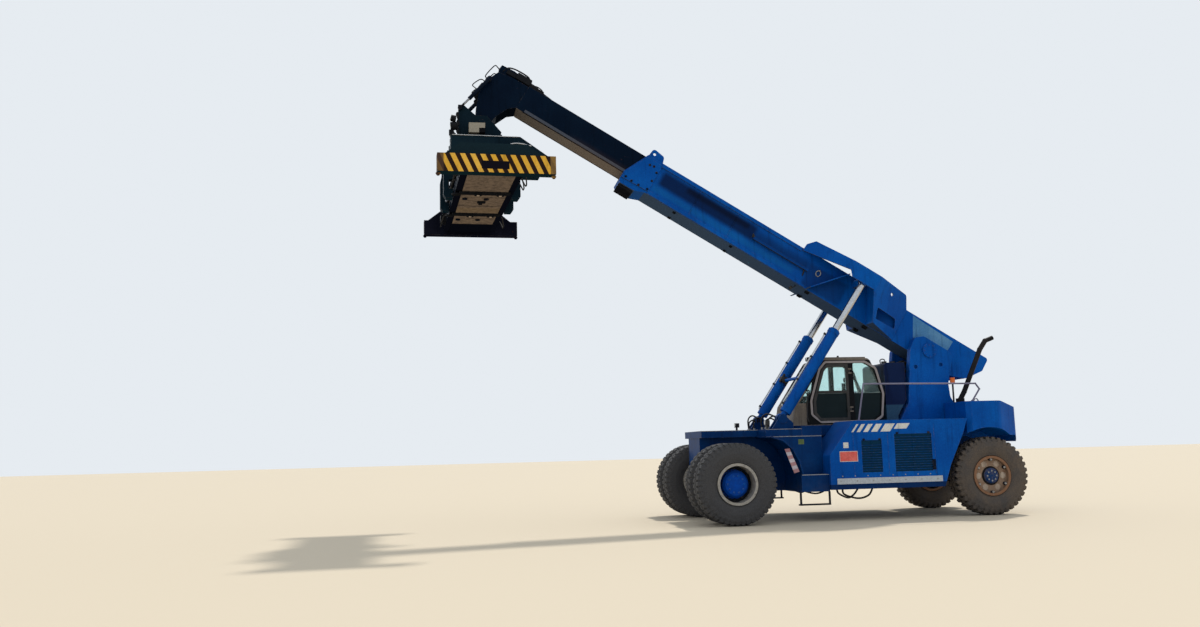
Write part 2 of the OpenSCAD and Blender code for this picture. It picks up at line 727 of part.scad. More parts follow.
module side_cuts(y0, y1) {
    spread(y0, y1) rounded(door_hole, door_round);
    spread(y0, y1) rounded(quarter_hole, quarter_round);
    spread(y0, y1) polygon(front_hole);
}
module cab_shell() {
    inner = inset(cab_side, cab_t);
    color(beige) {
        difference() {
            spread(-cab_half, cab_half) rounded(cab_side, cab_side_round);
            intersection() {
                spread(-cab_half + cab_t, cab_half - cab_t) polygon(inner);
                block([-5000, -1000, cab_floor], [0, 1000, 5000]);
            }
            side_cuts(cab_half - cab_t - 1, cab_half + 1);
            side_cuts(-cab_half - 1, -cab_half + cab_t + 1);
            windscreen_cut();
            rear_cut();
        }
        both_sides() spread(cab_half - 1, cab_half + 14) difference() {
            rounded(rim_outer, rim_round);
            offset_in(rim_outer, rim_round, 48);
            rounded(door_hole, door_round);
        }
        // Roof cap with a gutter
        difference() {
            block([-3330, -cab_half + 40, cab_roof - 1], [-2400, cab_half - 40, cab_roof + 28]);
            block([-3290, -cab_half + 80, cab_roof + 14], [-2440, cab_half - 80, cab_roof + 30]);
        }
    }
    color(black) for (z = [2300, 3150]) hinge_post(z);
}
// The same rounded outline, moved inward by d
module offset_in(p, radii, d) {
    rounded(inset(p, d), [for (r = radii) max(10, r - d)]);
}
// The windscreen opening follows the slope of the front wall
module front_slope() {
    a = cab_side[1];
    b = cab_side[2];
    translate([a.x, 0, a.y]) rotate([0, -atan2(b.y - a.y, b.x - a.x), 0]) children();
}
module windscreen_cut() {
    front_slope() block([70, -cab_half + cab_t + 20, -cab_t * 2], [1140, cab_half - cab_t - 20, cab_t * 2]);
}
module rear_slope() {
    a = cab_side[4];
    b = cab_side[3];
    translate([a.x, 0, a.y]) rotate([0, -atan2(b.y - a.y, b.x - a.x), 0]) children();
}
module rear_cut() {
    rear_slope() block([60, -cab_half + cab_t + 20, -cab_t * 2], [880, cab_half - cab_t - 20, cab_t * 2]);
}
hinge_y = cab_half + 26;
hinge_x = door_back_x - 3;
module hinge_post(z) {
    translate([hinge_x, hinge_y, z]) {
        cylinder(d = 16, h = 120);
        for (h = [0, 90.5]) {
            translate([0, 0, h]) cylinder(d = 40, h = 29.5);
            translate([-60, -27, h]) cube([55, 31, 29.5]);
        }
    }
}

module cab_glass() {
    mid = cab_half - cab_t / 2;
    wide = cab_half - cab_t - 20 - seat;
    color([0.35, 0.60, 0.58, 0.5]) {
        both_sides() {
            spread(mid - glass_t / 2, mid + glass_t / 2) offset_in(quarter_hole, quarter_round, seat);
            spread(mid - glass_t / 2, mid + glass_t / 2) polygon(inset(front_hole, seat));
        }
        spread(-mid - glass_t / 2, -mid + glass_t / 2) offset_in(door_hole, door_round, seat);
        front_slope() block([70 + seat, -wide, 24], [1140 - seat, wide, 24 + glass_t]);
        rear_slope() block([60 + seat, -wide, -36], [880 - seat, wide, -36 + glass_t]);
    }
}
module driver_seat() {
    floor_z = cab_floor;
    color(black) {
        block([-3000, -180, floor_z + seat], [-2640, 180, floor_z + 240]);
        block([-3060, -250, floor_z + 239], [-2560, 250, floor_z + 380]);
        block([-3180, -240, floor_z + 239], [-3040, 240, floor_z + 960]);
    }
}

module steering_console() {
    floor_z = cab_floor;
    color(black) {
        block([-2160, -180, floor_z + seat], [-1860, 180, floor_z + 420]);
        rod_between([-2060, 0, floor_z + 400], [-2240, 0, floor_z + 640], 70);
        translate([-2240, 0, floor_z + 640]) rotate([0, -36.9, 0]) {
            rotate_extrude($fn = 36) translate([190, 0]) circle(d = 34, $fn = 8);
            for (a = [0, 120, 240]) rotate([0, 0, a]) translate([0, -14, -8]) cube([185, 28, 16]);
            translate([0, 0, -20]) cylinder(d = 90, h = 40);
        }
    }
}

door_mid_z = 2750;
// The two openings of the door, one over and one under its middle bar
module door_panes(y0, y1, gap) {
    for (range = [[0, door_mid_z - 28 - gap], [door_mid_z + 28 + gap, 5000]]) intersection() {
        spread(y0, y1) offset_in(door_hole, door_round, door_gap + 62 + gap);
        block([-5000, 0, range[0]], [0, 2000, range[1]]);
    }
}
module cab_door() {
    color(black) difference() {
        spread(cab_half - cab_t, cab_half) offset_in(door_hole, door_round, door_gap);
        door_panes(cab_half - cab_t - 1, cab_half + 1, 0);
    }
    color(black) for (z = [2300, 3150]) translate([hinge_x, hinge_y, z + 30]) {
        difference() {
            union() {
                cylinder(d = 40, h = 60);
                translate([5, -27, 0]) cube([70, 31, 60]);
            }
            translate([0, 0, -1]) cylinder(d = 16 + 2 * run_gap, h = 62);
        }
    }
    color(black) translate([-2270, cab_half - 1, 2735]) cube([110, 30, 30]);
}

module door_glass() {
    mid = cab_half - cab_t / 2;
    color([0.35, 0.60, 0.58, 0.5]) door_panes(mid - glass_t / 2, mid + glass_t / 2, seat);
}

// Raised housing that carries the rod eyes of the lift cylinders, in boom coordinates
hump_y = 960;
hump_t = 30;
module hump() {
    fold_s = 2240;
    foot = 10 - boom_down;
    side = [
        [3620, 560], [3600, 740], [3440, 900], [1100, 900], [1010, 850], [830, 600],
        [830, foot], [1520, foot], [1900, 430], [2460, 430], [2560, 560]
    ];
    inner_side = [
        [3570, foot + 25], [3570, 720], [3420, 860], [1120, 860], [1050, 820], [870, 600],
        [870, foot + 25]
    ];
    plan = [
        [830, 0], [3620, 0], [3620, boom_half + 30], [2560, hump_y - 10], [fold_s, hump_y],
        [1860, hump_y - 10], [830, boom_half + 30]
    ];
    inner_plan = [
        [870, 0], [3580, 0], [3580, boom_half + 12], [2545, hump_y - hump_t - 10], [1875, hump_y - hump_t - 10],
        [870, boom_half + 12]
    ];
    // The top falls away from the boom's side
    fall = [
        [boom_half + seat, -400], [hump_y + 1, -400], [hump_y + 1, 785], [boom_half + 60, 890],
        [boom_half + seat, 900]
    ];
    inner_fall = [[0, -400], [hump_y + 1, -400], [hump_y + 1, 755], [boom_half + 60, 860], [0, 860]];
    difference() {
        intersection() {
            spread(0, hump_y + 1) polygon(side);
            translate([0, 0, -400]) linear_extrude(1600) polygon(plan);
            across(800, 3700) polygon(fall);
        }
        intersection() {
            spread(0, hump_y + 1) polygon(inner_side);
            translate([0, 0, -400]) linear_extrude(1600) polygon(inner_plan);
            across(800, 3700) polygon(inner_fall);
        }
        // Openings in the rear face, one for the hoses and one to reach the pin
        spread(boom_half + 40, hump_y + 10)
            rounded([[1500, -70], [1590, 170], [1010, 250], [900, 50]], [30, 30, 30, 30]);
        bar_y(1400, 640, 70, boom_half + 200, hump_y + 10);
    }
    // Slanted plate that closes the pocket behind the rod
    intersection() {
        spread(boom_half + seat, hump_y) polygon([[1520, foot], [1990, 760], [1960, 760], [1490, foot]]);
        translate([0, 0, -400]) linear_extrude(1600) polygon(plan);
    }
    bar_y(top_pin_s, top_pin_t, 210, boom_half + seat, cyl_y - eye_w / 2 - 12);
    bar_y(top_pin_s, top_pin_t, 210, cyl_y + eye_w / 2 + 12, hump_y - 22);
}
// A shape drawn in Y and Z, spread along X from x0 to x1
module across(x0, x1) {
    translate([x0, 0, 0]) rotate([90, 0, 90]) linear_extrude(x1 - x0) children();
}

module outer_boom() {
    top = boom_up;
    low = -boom_down;
    side = [
        [-1420, 300], [-1150, -60], [-800, low], [boom_len - 640, low], [boom_len - 420, low - 85],
        [boom_len - 60, low - 85], [boom_len, low - 30], [boom_len, 0], [boom_len - 300, top], [-1420, top]
    ];
    pocket = [
        [-700, low + boom_t], [boom_len + 10, low + boom_t], [boom_len + 10, top - boom_t], [-700, top - boom_t]
    ];
    flange = 26;
    color(blue) at_boom() {
        difference() {
            spread(-boom_half, boom_half) rounded(side, [60, 120, 160, 0, 40, 40, 0, 0, 0, 60]);
            spread(-boom_half + boom_t, boom_half - boom_t) polygon(pocket);
        }
        both_sides() {
            hump();
            boom_pads();
            bar_y(0, 0, pivot_d, boom_half - 1, tower_out + 36);
            bar_y(0, 0, 320, tower_out + 6, tower_out + 36);
            bar_y(0, 0, 360, boom_half - 1, tower_in - 6);
            spread(boom_half - 1, 680) polygon([[2480, 560], [2450, 560], [3120, low + 5], [3150, low + 5]]);
            // Collar plate, flanges above and below the web, and the tray for the hoses
            spread(boom_half - 1, boom_half + 28) polygon([
                [boom_len - 700, low + 60], [boom_len - 20, low + 40], [boom_len - 20, 0],
                [boom_len - 300, top - 60], [boom_len - 700, top - 60]
            ]);
            block([3650, boom_half - 1, top - 96], [boom_len - 699, boom_half + flange, top - 10]);
            block([3200, boom_half - 1, low + 8], [boom_len - 699, boom_half + flange, low + 90]);
            block([3300, boom_half - 1, 170], [4760, boom_half + 70, 190]);
            block([3300, boom_half + 56, 189], [4760, boom_half + 70, 230]);
            for (s = [5300, 6300]) spread(boom_half - 1, boom_half + 14)
                polygon([[s, low + 89], [s + 16, low + 89], [s + 16, top - 95], [s, top - 95]]);
        }
        block([830, -boom_half, top - 1], [3600, boom_half, top + 20]);
        for (y = [-250, 210]) difference() {
            spread(y, y + 40) rounded([
                [boom_len - 700, top - 1], [boom_len - 310, top - 1], [boom_len - 340, top + 240],
                [boom_len - 640, top + 190]
            ], [0, 0, 70, 70]);
            bar_y(boom_len - 420, top + 130, 70, y - 1, y + 41);
        }
    }
}
// Wear pads at the collar, between the two booms
module boom_pads() {
    low = -boom_down;
    front = boom_len - 330;
    wall_y = boom_half - boom_t + 1;
    block([boom_len - 460, inner_half + pad_gap, inner_down + 120], [front, wall_y, inner_up - 120]);
    block([boom_len - 460, 60, low + boom_t - 1], [boom_len - 60, inner_half - 40, inner_down - pad_gap]);
    block([boom_len - 600, 60, inner_up + pad_gap], [front, inner_half - 40, boom_up - boom_t + 1]);
}

module inner_boom() {
    side_gap = boom_half - boom_t - inner_half;
    color(navy) at_boom() {
        difference() {
            block([inner_back, -inner_half, inner_down], [inner_front, inner_half, inner_up]);
            block([inner_back - 1, -inner_half + inner_t, inner_down + inner_t],
                [inner_front + 1, inner_half - inner_t, inner_up - inner_t]);
        }
        pad_end = inner_back + 260;
        pad_y = inner_half + side_gap - pad_gap;
        strip_end = inner_front - 200;
        both_sides() {
            block([inner_back, inner_half - 1, inner_down + 120], [pad_end, pad_y, inner_up - 120]);
            block([inner_back, 60, inner_up - 1], [pad_end, inner_half - 40, boom_up - boom_t - pad_gap]);
            block([inner_back, 60, -boom_down + boom_t + pad_gap], [pad_end, inner_half - 40, inner_down + 1]);
            // Flange strips along the foot of each side
            block([pad_end + 140, inner_half - 1, inner_down + 8],
                [strip_end, inner_half + 12, inner_down + 70]);
        }
    }
}

module boom_head() {
    half = head_w / 2;
    hx = hang_x;
    hz = hang_z;
    // Neck outline in the plane of the machine, from the inner boom's end over the top and down
    start = [pivot_x, pivot_z] + (inner_front + seat) * boom_dir;
    up = [-boom_dir.y, boom_dir.x];
    neck = [
        start + (inner_down + 10) * up, [4612, 9210], [4868, 9030], [4945, 8940], [4970, hz], [hx + 130, hz],
        [5320, 9180], [5250, 9560], [5020, 9900], [4800, 10060], start + 400 * boom_dir + (inner_up - 20) * up,
        start + (inner_up - 10) * up
    ];
    neck_round = [0, 0, 0, 0, 0, 0, 200, 320, 280, 0, 0, 0];
    // Low cover that runs back from the neck over the inner boom
    cover = [
        start - 570 * boom_dir + (boom_up + 4) * up, start + 60 * boom_dir + (boom_up + 4) * up,
        start + 500 * boom_dir + (inner_up - 60) * up,
        [4800, 10055], [4790, 10170], [4710, 10270], [4430, 10130]
    ];
    color(navy) {
        difference() {
            union() {
                spread(-half, half) rounded(neck, neck_round);
                bar_y(hx, hz, 320, -half, half);
                bar_y(damper_top.x, damper_top.y, 190, -half, half);
                spread(-180, 180) polygon(cover);
            }
            bar_y(hx, hz, hang_pin_d + 2 * run_gap, -half - 1, half + 1);
        }
        both_sides() bar_y(damper_top.x, damper_top.y, 60, half - 1, damper_y + 60);
    }
}
damper_top = [5010, 9850];
damper_foot = [hang_x + 480, hang_z + 300];
damper_angle = atan2(damper_foot.y - damper_top.y, damper_foot.x - damper_top.x);
damper_len = norm(damper_foot - damper_top);
damper_barrel = 660;
module at_damper() {
    translate([damper_top.x, 0, damper_top.y]) rotate([0, -damper_angle, 0]) children();
}
module damper_barrels() {
    color(dark_blue) at_damper() both_sides() difference() {
        union() {
            bar_y(0, 0, 110, damper_y - 40, damper_y + 40);
            translate([0, damper_y, 0]) rotate([0, 90, 0]) cylinder(d = damper_d, h = damper_barrel);
        }
        bar_y(0, 0, 60 + 2 * run_gap, damper_y - 60, damper_y + 60);
        translate([60, damper_y, 0]) rotate([0, 90, 0])
            cylinder(d = damper_rod_d + 2 * run_gap, h = damper_barrel);
    }
}
module damper_rods() {
    rod = 600;
    color(steel) at_damper() both_sides() {
        translate([damper_len - rod, damper_y, 0]) rotate([0, 90, 0]) cylinder(d = damper_rod_d, h = rod - 20);
        bar_y(damper_len, 0, 96, damper_y - 20, damper_y + 20);
    }
}

module lift_barrels() {
    color(blue) at_cylinder() {
        both_sides() difference() {
            union() {
                bar_y(0, 0, 240, cyl_y - eye_w / 2, cyl_y + eye_w / 2);
                translate([0, cyl_y, 0]) rotate([0, 90, 0]) cylinder(d = eye_w - 10, h = 200);
                translate([170, cyl_y, 0]) rotate([0, 90, 0]) cylinder(d = barrel_d, h = barrel_len - 170);
            }
            bar_y(0, 0, cyl_pin_d + 2 * run_gap, cyl_y - 200, cyl_y + 200);
            translate([190, cyl_y, 0]) rotate([0, 90, 0]) cylinder(d = rod_d + 2 * run_gap, h = barrel_len);
        }
        bar_y(1130, 0, 70, -cyl_y + barrel_d / 2 + seat, cyl_y - barrel_d / 2 - seat);
    }
}

module lift_rods() {
    color(steel) at_cylinder() both_sides() {
        translate([cyl_len - rod_len, cyl_y, 0]) rotate([0, 90, 0]) cylinder(d = rod_d, h = rod_len - 60);
        bar_y(cyl_len, 0, 230, cyl_y - eye_w / 2, cyl_y + eye_w / 2);
    }
}

module head_yoke() {
    ear_in = inner_half + 12;
    ear_out = ear_in + 46;
    base = turntable_z + 30;
    ear = [
        [hang_x - 400, base], [hang_x - 430, 8640], [hang_x - 240, 8860], [hang_x - 110, 9010],
        [hang_x + 130, 9010], [hang_x + 400, 9250], [hang_x + 520, 9250], [hang_x + 510, base]
    ];
    color([0.06, 0.22, 0.26]) {
        both_sides() {
            spread(ear_in, ear_out) polygon(ear);
            bar_y(damper_foot.x, damper_foot.y, 60, ear_out - 1, damper_y - 26);
        }
        bar_y(hang_x, hang_z, hang_pin_d, -ear_out - 30, ear_out + 30);
        difference() {
            translate([hang_x, 0, turntable_z + 5]) cylinder(r = 480, h = 65);
            translate([hang_x, 0, turntable_z]) cylinder(r = 150 + run_gap, h = 100);
        }
        block([hang_x + 380, -ear_in - 1, base], [hang_x + 505, ear_in + 1, base + 160]);
    }
    color(beige) block([hang_x - 60, ear_out - 1, turntable_z + 72], [hang_x + 290, 620, turntable_z + 290]);
}

guide_x = 470;
rail_z = 7780;
// Claws that reach down beside the main frame, each with an open eye: X is out from its middle
claw_in = main_half + 10;
claw_low = 7040;
claw = [
    [claw_in, 7870 - seat], [claw_in, 7460], [claw_in + 90, 7440], [claw_in + 90, 7250], [claw_in, 7235],
    [claw_in, claw_low], [claw_in + 150, claw_low], [claw_in + 200, 7110], [claw_in + 200, 7700],
    [claw_in + 160, 7870 - seat]
];
module turntable_frame() {
    top = turntable_z;
    low = 7870;
    arm = [[730, low], [730, top - 30], [-780, top - 30], [-1380, 8040], [-1380, low]];
    color([0.06, 0.22, 0.26]) at_spreader() {
        cylinder_at(0, 0, top - 200, top + 66, 300);
        cylinder_at(0, 0, top - 60, top, 900);
        both_sides() spread(500, 720) polygon(arm);
        block([-640, -501, low], [700, 501, low + 60]);
        block([-640, -501, top - 110], [700, 501, top - 30]);
        for (x = [-640, 640]) block([x, -501, low], [x + 60, 501, top - 40]);
        for (x = [main_shift - guide_x, main_shift + guide_x]) difference() {
            block([x - 110, -600, rail_z - 80], [x + 110, 600, low + 1]);
            block([x - 61, -700, rail_z - 100], [x + 61, 700, rail_z + pad_gap]);
        }
        for (side = [-1, 1]) both_sides()
            spread(505, 715) polygon([for (p = claw) [main_shift + side * p.x, p.y]]);
        // Shelf that carries the front claws
        both_sides() block([729, 505, low], [main_shift + claw_in + 160, 715, low + 130]);
    }
}
module cylinder_at(x, y, z0, z1, d) {
    translate([x, y, z0]) cylinder(d = d, h = z1 - z0);
}

main_top = 7660;
main_low = 7060;
belly_half = 480;
module main_frame() {
    half = main_len / 2;
    inner_x = arm_x(0) - arm_w / 2 - arm_wall;
    color(dark_blue) at_spreader() translate([main_shift, 0, 0]) {
        for (side = [-1, 1]) difference() {
            block([min(side * inner_x, side * main_half), -half, main_low],
                [max(side * inner_x, side * main_half), half, main_top]);
            for (k = [0, 1])
                block([side * arm_x(k) - arm_w / 2, -half - 1, main_low + arm_wall + 20],
                    [side * arm_x(k) + arm_w / 2, half + 1, main_low + arm_wall + 20 + arm_h + 20]);
        }
        inside = inner_x - seat;
        for (y = [-half, -1300, 700, half - 40])
            block([-inside, y, main_low + 40], [inside, y + 40, main_top - 40]);
        // Belly plates under the beams, and rollers in the gaps below the cross plates
        for (y = [[-half, -1345], [-1215, 655], [785, half]])
            block([-belly_half, y[0], main_low - 18], [belly_half, y[1], main_low - seat]);
        for (y = [-1280, 720]) {
            translate([-80, y, main_low - 50]) cylinder(d = 110, h = 90 - seat);
            translate([380, y, main_low - 50]) cylinder(d = 110, h = 50 - seat);
        }
        for (x = [-guide_x, guide_x])
            block([x - 60, -1420, main_top + seat], [x + 60, 1420, rail_z]);
    }
}
// Arm centres from the middle: k = 0 for the left pair, k = 1 for the right pair
function arm_x(k) = main_half - arm_wall - arm_w / 2 - (1 - k) * (arm_w + arm_wall);

module arms(k) {
    z0 = main_low + arm_wall + 20 + pad_gap;
    back = -2300;
    front = end_beam_y - end_beam_t;
    translate([main_shift, 0, 0]) for (side = [-1, 1]) difference() {
        block([side * arm_x(k) - arm_w / 2 + 5, back, z0],
            [side * arm_x(k) + arm_w / 2 - 5, front, z0 + arm_h]);
        block([side * arm_x(k) - arm_w / 2 + 20, back - 1, z0 + 15],
            [side * arm_x(k) + arm_w / 2 - 20, front + 1, z0 + arm_h - 15]);
    }
}
module arms_left() { color(navy) at_spreader() arms(0); }
module arms_right() { color(navy) at_spreader() mirror([0, 1, 0]) arms(1); }

module end_beam() {
    y0 = end_beam_y - end_beam_t;
    top = end_beam_z + end_beam_h;
    block([-end_beam_w / 2, y0 + seat, end_beam_z], [end_beam_w / 2, end_beam_y, top]);
    spread(y0 + seat, y0 + 60) polygon([[-980, top - 1], [1060, top - 1], [700, top + 280], [-640, top + 280]]);
    for (x = [-lock_pitch_x / 2, lock_pitch_x / 2]) {
        cylinder_at(x, lock_pitch_y / 2, end_beam_z - 20, end_beam_z + 1, 90);
        translate([x, lock_pitch_y / 2, end_beam_z - 55]) cylinder(d1 = 50, d2 = 100, h = 36);
    }
}
module end_beam_left() { color([0.85, 0.62, 0.1]) at_spreader() end_beam(); }
module end_beam_right() { color(navy) at_spreader() mirror([0, 1, 0]) end_beam(); }

chassis_frame();
front_deck();
cab_platform();
front_axle();
step_bodies();
side_pod_left();
side_pod_right();
engine_block();
tank_unit();
boom_tower();
counterweight();
steer_axle();
access_steps();
handrails();
exhaust_stack();
lamps();
cab_shell();
cab_glass();
driver_seat();
steering_console();
cab_door();
door_glass();
front_tyres_left();
front_rims_left();
front_tyres_right();
front_rims_right();
rear_tyre_left();
rear_rim_left();
rear_tyre_right();
rear_rim_right();
knuckle_left();
knuckle_right();
outer_boom();
inner_boom();
boom_head();
lift_barrels();
lift_rods();
damper_barrels();
damper_rods();
head_yoke();
turntable_frame();
main_frame();
arms_left();
arms_right();
end_beam_left();
end_beam_right();
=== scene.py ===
import math
import random

import bmesh
import bpy
from mathutils import Matrix, Vector


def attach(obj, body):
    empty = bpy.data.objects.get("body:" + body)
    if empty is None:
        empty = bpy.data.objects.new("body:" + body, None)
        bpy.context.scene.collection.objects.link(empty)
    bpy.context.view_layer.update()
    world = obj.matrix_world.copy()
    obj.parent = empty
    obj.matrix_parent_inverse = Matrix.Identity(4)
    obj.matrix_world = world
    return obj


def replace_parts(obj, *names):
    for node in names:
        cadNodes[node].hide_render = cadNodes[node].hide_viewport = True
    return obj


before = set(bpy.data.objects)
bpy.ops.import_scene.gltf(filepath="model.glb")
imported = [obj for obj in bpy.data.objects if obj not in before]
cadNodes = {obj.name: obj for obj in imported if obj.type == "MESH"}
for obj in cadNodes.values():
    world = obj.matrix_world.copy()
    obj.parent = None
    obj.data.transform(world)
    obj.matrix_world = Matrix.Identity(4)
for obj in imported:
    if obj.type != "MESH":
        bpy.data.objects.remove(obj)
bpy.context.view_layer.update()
scene = bpy.context.scene
print("frame loaded")

# camera, as the photograph was taken
cameraPlace = {
    "spot": (6.079, 22.421, 1.633),   # metres, in the machine's frame
    "yaw": -0.1542,                   # radians, away from straight across the machine
    "pitch": 0.1310,
    "roll": -0.0256,
    "lens": 30.72,                    # millimetres on a sensor 36 mm wide
}


def placeCamera(place):
    forward = Vector((
        math.sin(place["yaw"]) * math.cos(place["pitch"]),
        -math.cos(place["yaw"]) * math.cos(place["pitch"]),
        math.sin(place["pitch"]),
    ))
    side = forward.cross(Vector((0, 0, 1))).normalized()
    top = side.cross(forward)
    turned = side * math.cos(place["roll"]) + top * math.sin(place["roll"])
    upward = top * math.cos(place["roll"]) - side * math.sin(place["roll"])
    data = bpy.data.cameras.new("photoCamera")
    data.lens = place["lens"]
    data.sensor_width = 36
    data.clip_end = 300
    camera = bpy.data.objects.new("photoCamera", data)
    scene.collection.objects.link(camera)
    camera.matrix_world = Matrix((
        (turned.x, upward.x, -forward.x, place["spot"][0]),
        (turned.y, upward.y, -forward.y, place["spot"][1]),
        (turned.z, upward.z, -forward.z, place["spot"][2]),
        (0, 0, 0, 1),
    ))
    scene.camera = camera


placeCamera(cameraPlace)
scene.render.resolution_x = 1200
scene.render.resolution_y = 627
scene.view_settings.view_transform = "Standard"


# light and ground
studio = {
    "sunStrength": 2.6,
    "sunColor": (1.0, 0.95, 0.87),
    "sunFrom": (-0.30, -0.42, 0.80),  # high behind the machine, as its shadow shows
    "sunSize": 0.06,
    "sky": (0.90, 0.95, 1.0),
    "skyStrength": 0.88,
    "ground": (0.55, 0.48, 0.37),
}


def buildStudio(values):
    sun = bpy.data.lights.new("sun", "SUN")
    sun.energy = values["sunStrength"]
    sun.color = values["sunColor"]
    sun.angle = values["sunSize"]
    sunObject = bpy.data.objects.new("sun", sun)
    sunObject.rotation_euler = Vector(values["sunFrom"]).to_track_quat("Z", "Y").to_euler()
    scene.collection.objects.link(sunObject)
    world = bpy.data.worlds.new("sky")
    world.use_nodes = True
    world.node_tree.nodes["Background"].inputs[0].default_value = (*values["sky"], 1)
    world.node_tree.nodes["Background"].inputs[1].default_value = values["skyStrength"]
    scene.world = world
    bm = bmesh.new()
    bmesh.ops.create_grid(bm, x_segments=1, y_segments=1, size=120)
    mesh = bpy.data.meshes.new("floor")
    bm.to_mesh(mesh)
    bm.free()
    floor = bpy.data.objects.new("floor", mesh)
    scene.collection.objects.link(floor)
    material = bpy.data.materials.new("floor")
    material.use_nodes = True
    shader = material.node_tree.nodes["Principled BSDF"]
    shader.inputs["Base Color"].default_value = (*values["ground"], 1)
    shader.inputs["Roughness"].default_value = 0.9
    mesh.materials.append(material)


buildStudio(studio)


# materials, all procedural and in the machine's own coordinates
def setSocket(tree, socket, value):
    if isinstance(value, bpy.types.NodeSocket):
        tree.links.new(value, socket)
    elif isinstance(value, (tuple, list)) and len(value) == 3 and socket.type == "RGBA":
        socket.default_value = (*value, 1)
    else:
        socket.default_value = value


def coordsOf(tree, output="Object"):
    return tree.nodes.new("ShaderNodeTexCoord").outputs[output]


def stretched(tree, coords, scale):
    node = tree.nodes.new("ShaderNodeMapping")
    node.inputs["Scale"].default_value = scale
    tree.links.new(coords, node.inputs["Vector"])
    return node.outputs["Vector"]


def noiseOf(tree, coords, scale, detail=4.0, rough=0.55, twist=0.0):
    node = tree.nodes.new("ShaderNodeTexNoise")
    tree.links.new(coords, node.inputs["Vector"])
    node.inputs["Scale"].default_value = scale
    node.inputs["Detail"].default_value = detail
    node.inputs["Roughness"].default_value = rough
    node.inputs["Distortion"].default_value = twist
    return node.outputs["Fac"]


def between(tree, value, low, high, start=0.0, end=1.0, soft=True):
    node = tree.nodes.new("ShaderNodeMapRange")
    node.interpolation_type = "SMOOTHSTEP" if soft else "LINEAR"
    tree.links.new(value, node.inputs["Value"])
    node.inputs["From Min"].default_value = low
    node.inputs["From Max"].default_value = high
    node.inputs["To Min"].default_value = start
    node.inputs["To Max"].default_value = end
    return node.outputs["Result"]


def calc(tree, operation, first, second=0.0):
    node = tree.nodes.new("ShaderNodeMath")
    node.operation = operation
    setSocket(tree, node.inputs[0], first)
    setSocket(tree, node.inputs[1], second)
    return node.outputs[0]


def times(tree, first, second):
    return calc(tree, "MULTIPLY", first, second)


def blendColor(tree, amount, first, second, mode="MIX"):
    node = tree.nodes.new("ShaderNodeMix")
    node.data_type = "RGBA"
    node.blend_type = mode
    setSocket(tree, node.inputs[0], amount)
    setSocket(tree, node.inputs[6], first)
    setSocket(tree, node.inputs[7], second)
    return node.outputs[2]


def blendValue(tree, amount, first, second):
    node = tree.nodes.new("ShaderNodeMix")
    node.data_type = "FLOAT"
    setSocket(tree, node.inputs[0], amount)
    setSocket(tree, node.inputs[2], first)
    setSocket(tree, node.inputs[3], second)
    return node.outputs[0]


def axisOf(tree, vector, axis):
    node = tree.nodes.new("ShaderNodeSeparateXYZ")
    tree.links.new(vector, node.inputs[0])
    return node.outputs[axis]


def edgesOf(tree, radius):
    bevel = tree.nodes.new("ShaderNodeBevel")
    bevel.samples = 3
    bevel.inputs["Radius"].default_value = radius
    shape = tree.nodes.new("ShaderNodeNewGeometry")
    dot = tree.nodes.new("ShaderNodeVectorMath")
    dot.operation = "DOT_PRODUCT"
    tree.links.new(bevel.outputs[0], dot.inputs[0])
    tree.links.new(shape.outputs["Normal"], dot.inputs[1])
    return between(tree, dot.outputs["Value"], 0.995, 0.86)


def bumpOf(tree, height, strength, distance):
    node = tree.nodes.new("ShaderNodeBump")
    node.inputs["Strength"].default_value = strength
    node.inputs["Distance"].default_value = distance
    tree.links.new(height, node.inputs["Height"])
    return node.outputs["Normal"]


def emptyMaterial(name):
    material = bpy.data.materials.new(name)
    material.use_nodes = True
    tree = material.node_tree
    tree.nodes.clear()
    out = tree.nodes.new("ShaderNodeOutputMaterial")
    shader = tree.nodes.new("ShaderNodeBsdfPrincipled")
    tree.links.new(shader.outputs[0], out.inputs[0])
    return material, tree, shader


def paintOn(material):
    tree = material.node_tree
    shader = next(n for n in tree.nodes if n.type == "BSDF_PRINCIPLED")
    return tree, shader, shader.inputs["Base Color"].links[0].from_socket


def finishShader(tree, shader, color, roughness, normal):
    setSocket(tree, shader.inputs["Base Color"], color)
    setSocket(tree, shader.inputs["Roughness"], roughness)
    setSocket(tree, shader.inputs["Normal"], normal)


# faces that look down don't mirror the pale ground
def dimBelow(tree, shader, gloss):
    below = between(tree, axisOf(tree, coordsOf(tree, "Normal"), 2), -0.30, -0.75)
    setSocket(tree, shader.inputs["Specular IOR Level"], blendValue(tree, below, gloss, 0.0))


def scaled(color, factor):
    return tuple(c * factor for c in color)


paintValues = {
    "dust": (0.15, 0.14, 0.125),
    "rust": (0.13, 0.045, 0.016),
    "bare": (0.18, 0.17, 0.16),       # chipped corners
    "roughness": 0.40,
    "sheen": 0.05,
    "dustAmount": 0.17,
    "rustAmount": 0.22,
    "edgeAmount": 0.45,
    "streakAmount": 0.5,
    "mudTop": 0.95,                   # height in metres under which mud has splashed
    "mudAmount": 0.22,
    "edgeWidth": 0.012,
}


